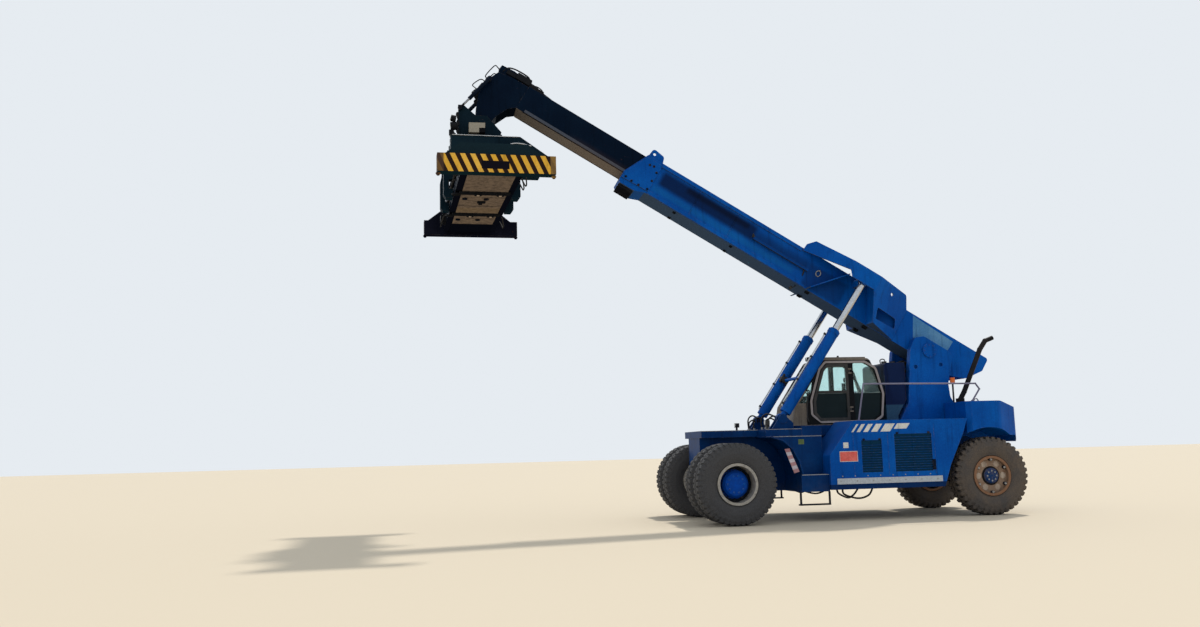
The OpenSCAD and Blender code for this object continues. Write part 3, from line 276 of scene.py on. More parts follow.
# base is fresh paint, faded is where the sun has bleached it
def machinePaint(name, base=(0.0, 0.070, 0.35), faded=(0.001, 0.100, 0.44), **changes):
    v = {**paintValues, **changes}
    material, tree, shader = emptyMaterial(name)
    coords = coordsOf(tree)
    upward = axisOf(tree, coordsOf(tree, "Normal"), 2)
    broad = noiseOf(tree, coords, 0.9, 5, 0.6)
    patchy = noiseOf(tree, coords, 3.7, 6, 0.62, 0.4)
    fine = noiseOf(tree, coords, 38, 5, 0.6)
    streaky = noiseOf(tree, stretched(tree, coords, (7, 7, 0.5)), 1.6, 6, 0.62)
    color = blendColor(tree, between(tree, broad, 0.36, 0.66), base, faded)
    specks = between(tree, fine, 0.3, 0.75, 0.0, 0.22)
    color = blendColor(tree, specks, color, (0.02, 0.02, 0.02), "MULTIPLY")
    upright = between(tree, calc(tree, "ABSOLUTE", upward), 0.75, 0.25)
    streaks = times(tree, between(tree, streaky, 0.50, 0.72, 0, v["streakAmount"]), upright)
    color = blendColor(tree, streaks, color, scaled(base, 0.35))
    dusty = times(tree, between(tree, upward, 0.25, 0.9), between(tree, patchy, 0.3, 0.65, 0.35, 1.0))
    dusty = times(tree, dusty, v["dustAmount"])
    thin = between(tree, patchy, 0.5, 0.85, 0, v["dustAmount"] * 0.07)
    color = blendColor(tree, calc(tree, "MAXIMUM", dusty, thin), color, v["dust"])
    waver = between(tree, patchy, 0.3, 0.7, -0.25, 0.25, False)
    splash = calc(tree, "ADD", axisOf(tree, coords, 2), waver)
    mud = between(tree, splash, v["mudTop"], v["mudTop"] - 0.75, 0, v["mudAmount"])
    color = blendColor(tree, mud, color, scaled(v["dust"], 0.6))
    edges = edgesOf(tree, v["edgeWidth"])
    chips = between(tree, noiseOf(tree, coords, 21, 4), 0.47, 0.6, 0, v["edgeAmount"])
    color = blendColor(tree, times(tree, edges, chips), color, v["bare"])
    rusty = noiseOf(tree, coords, 5.5, 12, 0.68, 0.6)
    rusty = between(tree, rusty, 0.70 - 0.12 * v["rustAmount"], 0.78)
    rusty = times(tree, rusty, min(1.0, v["rustAmount"] * 2))
    nearEdge = between(tree, noiseOf(tree, coords, 9, 6), 0.5, 0.62, 0, v["rustAmount"])
    rusty = calc(tree, "MAXIMUM", rusty, times(tree, edges, nearEdge))
    color = blendColor(tree, rusty, color, v["rust"])
    dull = blendValue(tree, calc(tree, "MAXIMUM", dusty, mud), v["roughness"], 0.85)
    dull = calc(tree, "MAXIMUM", dull, times(tree, rusty, 0.9))
    wavy = calc(tree, "ADD", times(tree, broad, 0.6), times(tree, fine, 0.05))
    finishShader(tree, shader, color, dull, bumpOf(tree, wavy, 0.35, 0.02))
    dimBelow(tree, shader, v["sheen"])
    return material


def mirrored(tree, vector):
    joined = tree.nodes.new("ShaderNodeCombineXYZ")
    x, y, z = (axisOf(tree, vector, i) for i in range(3))
    for i, value in enumerate((x, calc(tree, "ABSOLUTE", y), z)):
        tree.links.new(value, joined.inputs[i])
    return joined.outputs[0]


def along(tree, vector, direction, shift=0.0):
    node = tree.nodes.new("ShaderNodeVectorMath")
    node.operation = "DOT_PRODUCT"
    tree.links.new(vector, node.inputs[0])
    node.inputs[1].default_value = direction
    return calc(tree, "ADD", node.outputs["Value"], shift)


# colour over the paint in one place: stretches along directions, and the way that the surface faces
def tint(material, color, places=(), faces=(), amount=1.0, soft=0.002, worn=0.0, bothSides=True):
    tree, shader, painted = paintOn(material)
    spot = mirrored(tree, coordsOf(tree)) if bothSides else coordsOf(tree)
    patchy = noiseOf(tree, coordsOf(tree), 11, 6, 0.6)
    mask = between(tree, patchy, 0.35, 0.6, amount * (1 - worn), amount)
    for (direction, shift), low, high in places:
        value = along(tree, spot, direction, shift)
        mask = times(tree, mask, between(tree, value, low - soft, low + soft))
        mask = times(tree, mask, between(tree, value, high + soft, high - soft))
    facing = mirrored(tree, coordsOf(tree, "Normal"))
    for direction, least in faces:
        value = along(tree, facing, direction)
        mask = times(tree, mask, between(tree, value, least, least + 0.08))
    fine = between(tree, noiseOf(tree, coordsOf(tree), 34, 5, 0.6), 0.3, 0.7)
    shade = blendColor(tree, fine, scaled(color, 0.78), color)
    setSocket(tree, shader.inputs["Base Color"], blendColor(tree, mask, painted, shade))


rubberValues = {
    "base": (0.020, 0.021, 0.025),
    # colour of the painted shade in the tread's grooves, and how far that painted shade reaches
    "groove": (0.004, 0.004, 0.005),
    "grooveDepth": 0.07,
}


def tyreRubber(name, dust=(0.125, 0.116, 0.110), dustAmount=0.25):
    v = rubberValues
    material, tree, shader = emptyMaterial(name)
    coords = coordsOf(tree)
    patchy = noiseOf(tree, coords, 2.6, 7, 0.62, 0.5)
    fine = noiseOf(tree, coords, 45, 6, 0.65)
    color = blendColor(tree, between(tree, fine, 0.3, 0.7), v["base"], scaled(v["base"], 1.8))
    amount = times(tree, between(tree, patchy, 0.28, 0.7, 0.3, 1.0), dustAmount)
    amount = times(tree, amount, between(tree, fine, 0.25, 0.7, 0.55, 1.0))
    color = blendColor(tree, amount, color, dust)
    # painted shade: ambient occlusion darkens the rubber in the tread's grooves
    exposed = tree.nodes.new("ShaderNodeAmbientOcclusion")
    exposed.samples = 4
    exposed.inputs["Distance"].default_value = v["grooveDepth"]
    groove = between(tree, exposed.outputs["AO"], 0.85, 0.45, 0.0, 0.85)
    color = blendColor(tree, groove, color, v["groove"])
    rough = between(tree, patchy, 0.2, 0.8, 0.72, 0.95)
    finishShader(tree, shader, color, rough, bumpOf(tree, fine, 0.4, 0.01))
    return material


def bareMetal(name, base, rust=0.35, roughness=0.35, polish=1.0):
    material, tree, shader = emptyMaterial(name)
    coords = coordsOf(tree)
    fine = noiseOf(tree, coords, 30, 6, 0.6)
    patchy = noiseOf(tree, coords, 4.2, 8, 0.65, 0.5)
    color = blendColor(tree, between(tree, fine, 0.3, 0.7), base, scaled(base, 0.72))
    stain = between(tree, patchy, 0.52, 0.72, 0, rust)
    color = blendColor(tree, stain, color, (0.15, 0.075, 0.035))
    setSocket(tree, shader.inputs["Metallic"], calc(tree, "SUBTRACT", polish, stain))
    rough = blendValue(tree, stain, roughness, 0.8)
    finishShader(tree, shader, color, rough, bumpOf(tree, fine, 0.15, 0.004))
    return material


glassValues = {
    "shade": (0.78, 0.96, 0.94),
    # dark below the level: grime on the glass and painted shade behind it
    "grimeAndShade": (0.012, 0.022, 0.026),
    "level": 2.72,                    # darker below this height, which is where the door's lower pane ends
    "front": -1.9,                    # not at the windscreen
}


def tintedGlass(name, v):
    material, tree, shader = emptyMaterial(name)
    coords = coordsOf(tree)
    smear = noiseOf(tree, coords, 2.2, 8, 0.65, 0.8)
    low = between(tree, axisOf(tree, coords, 2), v["level"] + 0.01, v["level"] - 0.01)
    low = times(tree, low, between(tree, axisOf(tree, coords, 0), v["front"], v["front"] - 0.02))
    setSocket(tree, shader.inputs["Base Color"], blendColor(tree, low, v["shade"], v["grimeAndShade"]))
    setSocket(tree, shader.inputs["Roughness"], between(tree, smear, 0.3, 0.75, 0.03, 0.18))
    shader.inputs["IOR"].default_value = 1.12
    clear = between(tree, smear, 0.45, 0.8, 0.97, 0.80)
    clear = calc(tree, "SUBTRACT", clear, times(tree, low, 0.72))
    setSocket(tree, shader.inputs["Transmission Weight"], clear)
    return material


def plainPlastic(name, base=(0.02, 0.02, 0.021), roughness=0.6, dust=0.25, gloss=0.35):
    material, tree, shader = emptyMaterial(name)
    coords = coordsOf(tree)
    patchy = noiseOf(tree, coords, 6, 7, 0.6, 0.3)
    fine = noiseOf(tree, coords, 90, 3)
    color = blendColor(tree, between(tree, patchy, 0.4, 0.75, 0, dust), base, (0.26, 0.23, 0.19))
    rough = between(tree, patchy, 0.3, 0.7, roughness - 0.1, roughness + 0.15)
    finishShader(tree, shader, color, rough, bumpOf(tree, fine, 0.2, 0.002))
    dimBelow(tree, shader, gloss)
    return material


wheelSpots = {"frontX": 0.175, "rearX": -5.615, "axleZ": 0.838}


# paint for a rim: one colour on the hub, one on the disc, a pale flange, each inside its radius
def rimPaint(name, axleX, hub, hubColor, discColor, flange, flangeColor, rust):
    material = machinePaint(name, discColor, scaled(discColor, 1.35), rustAmount=rust, mudAmount=0.1)
    tree, shader, painted = paintOn(material)
    coords = coordsOf(tree)
    across = calc(tree, "SUBTRACT", axisOf(tree, coords, 0), axleX)
    above = calc(tree, "SUBTRACT", axisOf(tree, coords, 2), wheelSpots["axleZ"])
    away = calc(tree, "ADD", times(tree, across, across), times(tree, above, above))
    away = calc(tree, "SQRT", away)
    worn = noiseOf(tree, coords, 14, 6, 0.65)
    pale = between(tree, away, flange - 0.004, flange + 0.004)
    pale = times(tree, pale, between(tree, worn, 0.3, 0.6, 0.55, 0.95))
    color = blendColor(tree, pale, painted, flangeColor)
    inside = between(tree, away, hub + 0.003, hub - 0.003)
    inside = times(tree, inside, between(tree, worn, 0.35, 0.6, 1.0, 0.75))
    setSocket(tree, shader.inputs["Base Color"], blendColor(tree, inside, color, hubColor))
    return material


# directions along the boom and square to it, each with the shift that starts it at the boom's pivot
boomFrame = {"pivot": (-4.885, 3.66), "angle": math.radians(31)}


def boomAxes(v):
    c, s = math.cos(v["angle"]), math.sin(v["angle"])
    x, z = v["pivot"]
    return ((c, 0, s), -c * x - s * z), ((-s, 0, c), s * x - c * z)


boomAlong, boomUp = boomAxes(boomFrame)
acrossX, acrossY, acrossZ = ((1, 0, 0), 0.0), ((0, 1, 0), 0.0), ((0, 0, 1), 0.0)
belowBoom = ((math.sin(boomFrame["angle"]), 0, -math.cos(boomFrame["angle"])), 0.9)
facingDown = ((0, 0, -1), 0.8)

bluePaint = machinePaint("bluePaint")
boomPaint = machinePaint("boomPaint")
barrelPaint = machinePaint("barrelPaint")
podPaint = machinePaint("podPaint")
deepBlue = machinePaint("deepBlue", (0.0, 0.024, 0.115), (0.001, 0.040, 0.165))
# painted shade: the tank's blue is darkened to the shade it stands in between the cab and the tower
tankShadedPaint = machinePaint("tankShadedPaint", (0.003, 0.010, 0.048), (0.005, 0.016, 0.065))
darkPaint = machinePaint("darkPaint", (0.003, 0.007, 0.017), (0.007, 0.013, 0.028),
                         sheen=0.03, rustAmount=0.4)
innerPaint = machinePaint("innerPaint", (0.001, 0.006, 0.019), (0.002, 0.010, 0.027),
                          sheen=0.03, rustAmount=0.3, dustAmount=0.10)
tealPaint = machinePaint("tealPaint", (0.003, 0.012, 0.022), (0.007, 0.022, 0.034),
                         sheen=0.03, rustAmount=0.35)
# painted shade: the far end beam, in shadow under the spreader, is near black where the near one is yellow
farBeamPaintedShade = machinePaint("farBeamPaintedShade", (0.004, 0.005, 0.013), (0.008, 0.009, 0.020),
                            sheen=0.03, rustAmount=0.3)
framePaint = machinePaint("framePaint", (0.002, 0.005, 0.013), (0.004, 0.009, 0.020),
                          sheen=0.03, rustAmount=0.35, dustAmount=0.08)
exhaustPaint = machinePaint("exhaustPaint", (0.010, 0.010, 0.013), (0.025, 0.022, 0.022), rustAmount=0.9)
cabPaint = machinePaint("cabPaint", (0.17, 0.145, 0.12), (0.30, 0.26, 0.22), rustAmount=0.5)
railPaint = machinePaint("railPaint", (0.15, 0.15, 0.23), (0.22, 0.22, 0.32))
yellowPaint = machinePaint("yellowPaint", (0.76, 0.42, 0.045), (0.86, 0.52, 0.09),
                           rustAmount=0.6, edgeAmount=0.8)
whitePaint = machinePaint("whitePaint", (0.62, 0.62, 0.60), (0.75, 0.75, 0.72),
                          rustAmount=0.1, edgeAmount=0.2)
redPlate = machinePaint("redPlate", (0.68, 0.115, 0.100), (0.78, 0.24, 0.21),
                        rustAmount=0.1, edgeAmount=0.3)
paleEdge = machinePaint("paleEdge", (0.28, 0.30, 0.34), (0.42, 0.44, 0.47), rustAmount=0.3)
paleBand = machinePaint("paleBand", (0.06, 0.20, 0.42), (0.13, 0.30, 0.50), rustAmount=0.1)
greenPlate = machinePaint("greenPlate", (0.085, 0.135, 0.060), (0.16, 0.22, 0.09), rustAmount=0.1)
markerRose = machinePaint("markerRose", (0.30, 0.13, 0.15), (0.42, 0.24, 0.26), rustAmount=0.2)
markerPale = machinePaint("markerPale", (0.44, 0.40, 0.46), (0.56, 0.52, 0.58), rustAmount=0.2)
paleRust = machinePaint("paleRust", (0.36, 0.28, 0.22), (0.48, 0.40, 0.33), rustAmount=0.7)
rimFront = rimPaint("rimFront", wheelSpots["frontX"], 0.30, (0.001, 0.060, 0.38), (0.004, 0.007, 0.014),
                    0.37, (0.36, 0.34, 0.31), 0.3)
rimRear = rimPaint("rimRear", wheelSpots["rearX"], 0.166, (0.003, 0.032, 0.115), (0.23, 0.16, 0.115),
                   0.372, (0.20, 0.10, 0.055), 0.7)
tyreFront = tyreRubber("tyreFront")
tyreRear = tyreRubber("tyreRear", (0.150, 0.108, 0.072), 0.62)
chromeRod = bareMetal("chromeRod", (0.58, 0.60, 0.63), 0.10, 0.2)
damperChrome = bareMetal("damperChrome", (0.30, 0.31, 0.34), 0.14, 0.2)
wornSteel = bareMetal("wornSteel", (0.36, 0.36, 0.36), 0.3, 0.42, 0.6)
palePipe = bareMetal("palePipe", (0.62, 0.64, 0.66), 0.15, 0.35, 0.55)
cabGlass = tintedGlass("cabGlass", glassValues)
blackPlastic = plainPlastic("blackPlastic", dust=0.12)
greaseBlack = plainPlastic("greaseBlack", (0.006, 0.007, 0.010), 0.5, 0.03, 0.08)
blackRubber = plainPlastic("blackRubber", (0.010, 0.010, 0.011), 0.75, 0.10)
lampPaint = plainPlastic("lampPaint", (0.70, 0.14, 0.015), 0.3, 0.1)
lensGlass = plainPlastic("lensGlass", (0.55, 0.56, 0.54), 0.15, 0.2)
redLens = plainPlastic("redLens", (0.45, 0.012, 0.008), 0.2, 0.15)
seatCloth = plainPlastic("seatCloth", (0.030, 0.032, 0.036), 0.85, 0.2)

# outer boom: dusty belly, painted shade in stretches on each side and behind the raised housing, a painted
# highlight on the lower edge
tint(boomPaint, (0.046, 0.078, 0.140), faces=[belowBoom])
boomShades = [              # colour, from and to along the boom, low and high, softness, amount
    ((0.001, 0.009, 0.050), 4.75, 7.25, 0.12, 0.485, 0.08, 0.9),
    ((0.001, 0.010, 0.052), 3.30, 4.75, 0.14, 0.42, 0.10, 0.55),
    ((0.001, 0.003, 0.014), 4.95, 6.60, 0.31, 0.455, 0.06, 0.7),
]
# painted shade on the side walls under the top flange and the raised housing
for color, start, end, low, high, soft, amount in boomShades:
    tint(boomPaint, color, [(boomAlong, start, end), (boomUp, low, high)], soft=soft, amount=amount)
# painted shadow of the raised housing on the wall behind it
tint(boomPaint, (0.002, 0.010, 0.050),
     [(boomAlong, 2.30, 3.30), (boomUp, -0.15, 0.40), (acrossY, 0.36, 0.42)], soft=0.05, amount=0.7)
# painted highlight along the lower edge of each side
tint(boomPaint, (0.004, 0.110, 0.34), [(boomAlong, 3.6, 7.3), (boomUp, -0.05, 0.08)],
     soft=0.06, amount=0.45)
# inner boom: dusty belly with dark edges and head, a pale strip and some rust at the foot of each side
tint(innerPaint, (0.20, 0.175, 0.155), faces=[belowBoom])
tint(innerPaint, (0.070, 0.082, 0.11),
     [(boomAlong, 2.4, 10.7), (boomUp, -0.013, 0.051), (acrossY, 0.328, 0.34)])
tint(innerPaint, (0.012, 0.014, 0.020), [(boomAlong, 2.4, 10.7), (acrossY, 0.268, 0.319)], [belowBoom])
tint(innerPaint, (0.004, 0.008, 0.016), [(boomAlong, 10.55, 13.0), (acrossY, 0.0, 0.325)],
     [((-0.55, 0, -0.83), 0.55)])
tint(innerPaint, (0.11, 0.055, 0.03), [(boomAlong, 7.9, 9.4), (boomUp, -0.03, -0.015)],
     soft=0.2, amount=0.55)
# side housings: pale bar, painted shade over the recessed grille panels and on the foot under the bar
tint(podPaint, (0.47, 0.51, 0.56), [(acrossZ, 0.757, 0.884), (acrossY, 1.703, 1.80)])
for front, back, low, high in ((-2.655, -3.105, 0.990, 1.660), (-3.395, -4.235, 0.990, 1.780)):
    tint(podPaint, (0.001, 0.031, 0.078),
         [(acrossX, back, front), (acrossZ, low, high), (acrossY, 1.60, 1.6985)])
tint(podPaint, (0.001, 0.010, 0.045), [(acrossZ, 0.60, 0.755)], amount=0.8)
# cab: black behind the raised rim, which is grey
tint(cabPaint, (0.008, 0.009, 0.011),
     [(acrossX, -3.80, -1.88), (acrossY, 0.54, 0.6215), (acrossZ, 2.03, 3.46)], soft=0.0006)
tint(cabPaint, (0.31, 0.28, 0.28), [(acrossY, 0.6225, 0.640)], [((0, 1, 0), 0.8)], soft=0.0006)
# spreader: dusty plates under the main frame, browner in the middle, and painted shade over the frame's far
# end
spreaderFrame = {"hangX": 5.19, "turn": math.radians(3.4), "mainShift": 0.06}
spreadAlong = ((-math.sin(spreaderFrame["turn"]), math.cos(spreaderFrame["turn"]), 0),
               spreaderFrame["hangX"] * math.sin(spreaderFrame["turn"]))
tint(framePaint, (0.185, 0.142, 0.112), [(acrossZ, 7.03, 7.050)], [facingDown], worn=0.45, soft=0.0008)
tint(framePaint, (0.21, 0.145, 0.060), [(acrossZ, 7.03, 7.050), (spreadAlong, -0.62, -0.16)], [facingDown],
     soft=0.04, amount=0.5, bothSides=False)
# painted shade over the far end of the frame, which lies in shadow
tint(framePaint, (0.003, 0.004, 0.009), [(spreadAlong, -3.3, -1.80)], soft=0.02, bothSides=False)
tint(framePaint, (0.004, 0.005, 0.011), [(acrossZ, 7.052, 7.075)], [facingDown])
# yoke: a beige box on its left with a black corner
for color, back, front, high in (
    ((0.36, 0.33, 0.27), 5.12, 5.49, 8.775),
    ((0.006, 0.006, 0.008), 5.125, 5.26, 8.655),
):
    tint(tealPaint, color, [(acrossX, back, front), (acrossY, 0.3785, 0.63), (acrossZ, 8.545, high)],
         soft=0.0008, bothSides=False)
# painted light on the pale foot of the tank, where a sloped plate catches the light, painted shade on the
# feet of the lift cylinders, grease on the damper rods, and deck lamps that are black where the beacon is
# orange
tint(tankShadedPaint, (0.030, 0.085, 0.155), [(acrossZ, 2.02, 2.44)], soft=0.02, amount=0.85)
tint(barrelPaint, (0.001, 0.014, 0.05), [(acrossZ, 1.9, 2.25)], soft=0.05, amount=0.8)
tint(damperChrome, (0.010, 0.010, 0.014), [(acrossX, 5.575, 5.80)], soft=0.01)
tint(lampPaint, (0.012, 0.012, 0.014), [(acrossZ, 1.9, 2.90)])
print("materials ready")

dressedNodes = [
    (deepBlue, "chassis_frame front_deck cab_platform step_bodies"),
    (bluePaint, "boom_tower counterweight"),
    (podPaint, "side_pod_left side_pod_right"),
    (darkPaint, "front_axle engine_block steer_axle access_steps damper_barrels"),
    (darkPaint, "knuckle_left knuckle_right"),
    (tankShadedPaint, "tank_unit"),
    (railPaint, "handrails"),
    (exhaustPaint, "exhaust_stack"),
    (lampPaint, "lamps"),
    (cabPaint, "cab_shell"),
    (cabGlass, "cab_glass door_glass"),
    (seatCloth, "driver_seat"),
    (blackPlastic, "steering_console cab_door"),
    (tyreFront, "front_tyres_left front_tyres_right"),
    (rimFront, "front_rims_left front_rims_right"),
    (tyreRear, "rear_tyre_left rear_tyre_right"),
    (rimRear, "rear_rim_left rear_rim_right"),
    (boomPaint, "outer_boom"),
    (innerPaint, "inner_boom boom_head arms_left arms_right"),
    (barrelPaint, "lift_barrels"),
    (chromeRod, "lift_rods"),
    (damperChrome, "damper_rods"),
    (tealPaint, "head_yoke turntable_frame"),
    (framePaint, "main_frame"),
    (yellowPaint, "end_beam_left"),
    (farBeamPaintedShade, "end_beam_right"),
]
for material, names in dressedNodes:
    for name in names.split():
        cadNodes[name].data.materials.clear()
        cadNodes[name].data.materials.append(material)

leftAndRight = (("left", 1), ("right", -1))


# small helpers for mesh pieces
def fromBmesh(name, bm, material, body="chassis", smooth=False, bevel=0.0):
    if bevel > 0:
        bmesh.ops.bevel(bm, geom=list(bm.edges), offset=bevel, segments=2, affect="EDGES")
    bmesh.ops.recalc_face_normals(bm, faces=bm.faces)
    mesh = bpy.data.meshes.new(name)
    bm.to_mesh(mesh)
    bm.free()
    mesh.materials.append(material)
    if smooth:
        mesh.shade_smooth()
    piece = bpy.data.objects.new(name, mesh)
    scene.collection.objects.link(piece)
    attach(piece, body)
    return piece


# place turns a spot in the box's own frame into one in the machine's
def addBox(bm, low, high, place=Vector):
    for vert in bmesh.ops.create_cube(bm, size=1.0)["verts"]:
        vert.co = place([low[i] + (vert.co[i] + 0.5) * (high[i] - low[i]) for i in range(3)])


# the place of a box that is turned round a spot, nose up or down
def tilted(degrees, about):
    turn, about = Matrix.Rotation(math.radians(degrees), 3, "Y"), Vector(about)
    return lambda spot: turn @ (Vector(spot) - about) + about


def addRod(bm, start, end, radius, sides=12, taper=1.0):
    start, end = Vector(start), Vector(end)
    axis = end - start
    made = bmesh.ops.create_cone(bm, cap_ends=True, segments=sides, radius1=radius,
                                 radius2=radius * taper, depth=axis.length)
    turn = Vector((0, 0, 1)).rotation_difference(axis)
    for vert in made["verts"]:
        vert.co = turn @ vert.co + (start + end) / 2


def smoothPath(points, steps=6):
    points = [Vector(p) for p in points]
    ends = [points[0]] + points + [points[-1]]
    path = []
    for a, b, c, d in zip(ends, ends[1:], ends[2:], ends[3:]):
        for k in range(steps):
            t = k / steps
            square = (2 * a - 5 * b + 4 * c - d) * t * t
            cube = (3 * b - a - 3 * c + d) * t ** 3
            path.append(0.5 * (2 * b + (c - a) * t + square + cube))
    path.append(points[-1])
    return path


def joinRings(bm, rings):
    for first, second in zip(rings, rings[1:]):
        for k in range(len(first)):
            j = (k + 1) % len(first)
            bm.faces.new((first[k], first[j], second[j], second[k]))


def addTube(bm, points, radius, sides=8):
    turns = [2 * math.pi * k / sides for k in range(sides)]
    rings = []
    normal = None
    for i, point in enumerate(points):
        ahead = (points[min(i + 1, len(points) - 1)] - points[max(i - 1, 0)]).normalized()
        if normal is None:
            normal = ahead.orthogonal().normalized()
        else:
            normal = (normal - ahead * normal.dot(ahead)).normalized()
        other = ahead.cross(normal)
        ring = [point + radius * (math.cos(a) * normal + math.sin(a) * other) for a in turns]
        rings.append([bm.verts.new(spot) for spot in ring])
    joinRings(bm, rings)
    bm.faces.new(rings[0][::-1])
    bm.faces.new(rings[-1])


def tubeAlong(bm, points, radius, sides=8, steps=6):
    addTube(bm, smoothPath(points, steps), radius, sides)


def addBolts(bm, centres, outward, radius, height):
    outward = Vector(outward)
    for centre in centres:
        centre = Vector(centre)
        addRod(bm, centre - outward * 0.002, centre + outward * height, radius, 6)
        addRod(bm, centre - outward * 0.002, centre + outward * height * 0.25, radius * 1.45, 12)


def circleSpots(centre, radius, count, y, start=0.0):
    turns = [start + 2 * math.pi * i / count for i in range(count)]
    return [(centre[0] + radius * math.cos(a), y, centre[1] + radius * math.sin(a)) for a in turns]


def rectangle(x0, x1, z0, z1):
    return [(x0, z0), (x1, z0), (x1, z1), (x0, z1)]


def addPrism(bm, lower, upper):
    lower = [bm.verts.new(p) for p in lower]
    upper = [bm.verts.new(p) for p in upper]
    bm.faces.new(lower)
    bm.faces.new(upper[::-1])
    for i in range(len(lower)):
        j = (i + 1) % len(lower)
        bm.faces.new((lower[j], lower[i], upper[i], upper[j]))


# a flat plate on a side of the machine, sunk a little into the wall that carries it
def addPlate(bm, outline, face, sign, thick, sunk=0.001):
    addPrism(bm, [(x, (face - sunk) * sign, z) for x, z in outline],
             [(x, (face + thick) * sign, z) for x, z in outline])


# a hose that hangs between two fixed ends
def hangHose(name, points, radius, body):
    path = smoothPath(points, 8)
    bm = bmesh.new()
    addTube(bm, path, radius, 10)
    piece = fromBmesh(name, bm, blackRubber, body, smooth=True)


# s runs along the boom from its pivot, t square to it
def onBoom(s, t, y):
    c, sn = math.cos(boomFrame["angle"]), math.sin(boomFrame["angle"])
    x, z = boomFrame["pivot"]
    return Vector((x + s * c - t * sn, y, z + s * sn + t * c))


def addBoomBox(bm, low, high):
    addBox(bm, low, high, lambda spot: onBoom(spot[0], spot[2], spot[1]))


def onSpreader(x, y, z):
    c, s = math.cos(spreaderFrame["turn"]), math.sin(spreaderFrame["turn"])
    return Vector((spreaderFrame["hangX"] + x * c - y * s, x * s + y * c, z))


def addSpreaderBox(bm, low, high):
    addBox(bm, low, high, lambda spot: onSpreader(*spot))


cylinderFrame = {"foot": (-1.215, 2.17), "along": (-0.568, 0.823)}


# s runs up the lift cylinder, t to its rear
def onCylinder(s, t, y):
    ax, az = cylinderFrame["along"]
    x, z = cylinderFrame["foot"]
    return Vector((x + s * ax - t * az, y, z + s * az + t * ax))


# tyres with their tread, in place of the plain ones
frontTyres = {
    "x": wheelSpots["frontX"],
    "offsets": (1.836, 1.156),
    "lugs": 44,
    "grooveShare": 0.30,
    "depth": 0.026,
    "sideReach": 0.735,               # radius from which the lugs are cut
}
rearTyres = {
    "x": wheelSpots["rearX"],
    "offsets": (1.404,),
    "lugs": 38,
    "grooveShare": 0.42,
    "depth": 0.040,
    "sideReach": 0.715,
}
tyreHalf = [                          # radius and distance from the middle, from the bead out to the tread
    (0.400, 0.1985), (0.431, 0.1985), (0.437, 0.214), (0.448, 0.219), (0.456, 0.214), (0.475, 0.226),
    (0.510, 0.2385), (0.560, 0.246), (0.600, 0.249), (0.606, 0.2500), (0.640, 0.2495), (0.646, 0.2475),
    (0.700, 0.2440), (0.735, 0.2400), (0.750, 0.2370), (0.772, 0.2240), (0.790, 0.2170), (0.810, 0.2120),
    (0.826, 0.2030), (0.8355, 0.19), (0.8363, 0.16), (0.837, 0.13), (0.8375, 0.095), (0.838, 0.06),
    (0.838, 0.035), (0.838, 0.012),
]


def treadSink(v, radius, width, phase):
    reach = min(1.0, max(0.0, (radius - v["sideReach"]) / (0.80 - v["sideReach"])))
    if radius < v["sideReach"] + 0.001:
        return 0.0
    across = width / 0.19
    shifted = (phase + (0.5 if width > 0 else 0.0) + 0.12 * abs(across)) % 1.0
    if abs(across) > 0.42 and shifted < v["grooveShare"]:
        return v["depth"] * (0.35 + 0.65 * reach)
    zigzag = 0.32 * (abs((phase % 1.0) - 0.5) * 2 - 0.5)
    if abs(across - zigzag) < 0.10:
        return v["depth"] * 0.8
    if abs(abs(across) - 0.40 - 0.05 * zigzag) < 0.035:
        return v["depth"] * 0.7
    return 0.0


def buildTyres(name, v, sign, material, body, replaced):
    cuts = v["lugs"] * 10
    x, z = v["x"], wheelSpots["axleZ"]
    profile = [(r, -w) for r, w in tyreHalf] + [(r, w) for r, w in reversed(tyreHalf)]
    dice = random.Random(name)
    bm = bmesh.new()
    for offset in v["offsets"]:
        slip = dice.random()
        rings = []
        for i in range(cuts):
            angle = 2 * math.pi * i / cuts
            sunk = [r - treadSink(v, r, w, i / 10 + slip) for r, w in profile]
            rings.append([
                bm.verts.new((x + r * math.cos(angle), offset * sign + w, z + r * math.sin(angle)))
                for r, (_, w) in zip(sunk, profile)])
        for ring, following in zip(rings, rings[1:] + rings[:1]):
            for k in range(len(ring)):
                j = (k + 1) % len(ring)
                bm.faces.new((ring[k], following[k], following[j], ring[j]))
    for face in bm.faces:
        middle = face.calc_center_median()
        face.smooth = math.hypot(middle.x - x, middle.z - z) < 0.74
    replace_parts(fromBmesh(name, bm, material, body), replaced)


for sideName, sign in leftAndRight:
    buildTyres(f"frontTread_{sideName}", frontTyres, sign, tyreFront,
               f"front_wheels_{sideName}", f"front_tyres_{sideName}")
    buildTyres(f"rearTread_{sideName}", rearTyres, sign, tyreRear,
               f"rear_wheel_{sideName}", f"rear_tyre_{sideName}")
print("tyres built")

# stripes and blank plates on the side housings, markers on the mudguards
podFace = 1.700
podStripes = {
    "low": 1.838,
    "high": 2.003,
    "lean": 0.122,          # how far the top is behind the foot
    "start": -2.445,
    "gap": 0.070,
    "widths": [0.045, 0.078, 0.105, 0.140, 0.215],
    "thick": 0.002,
    "bar": 0.285,           # the last one is a bar half as high
}


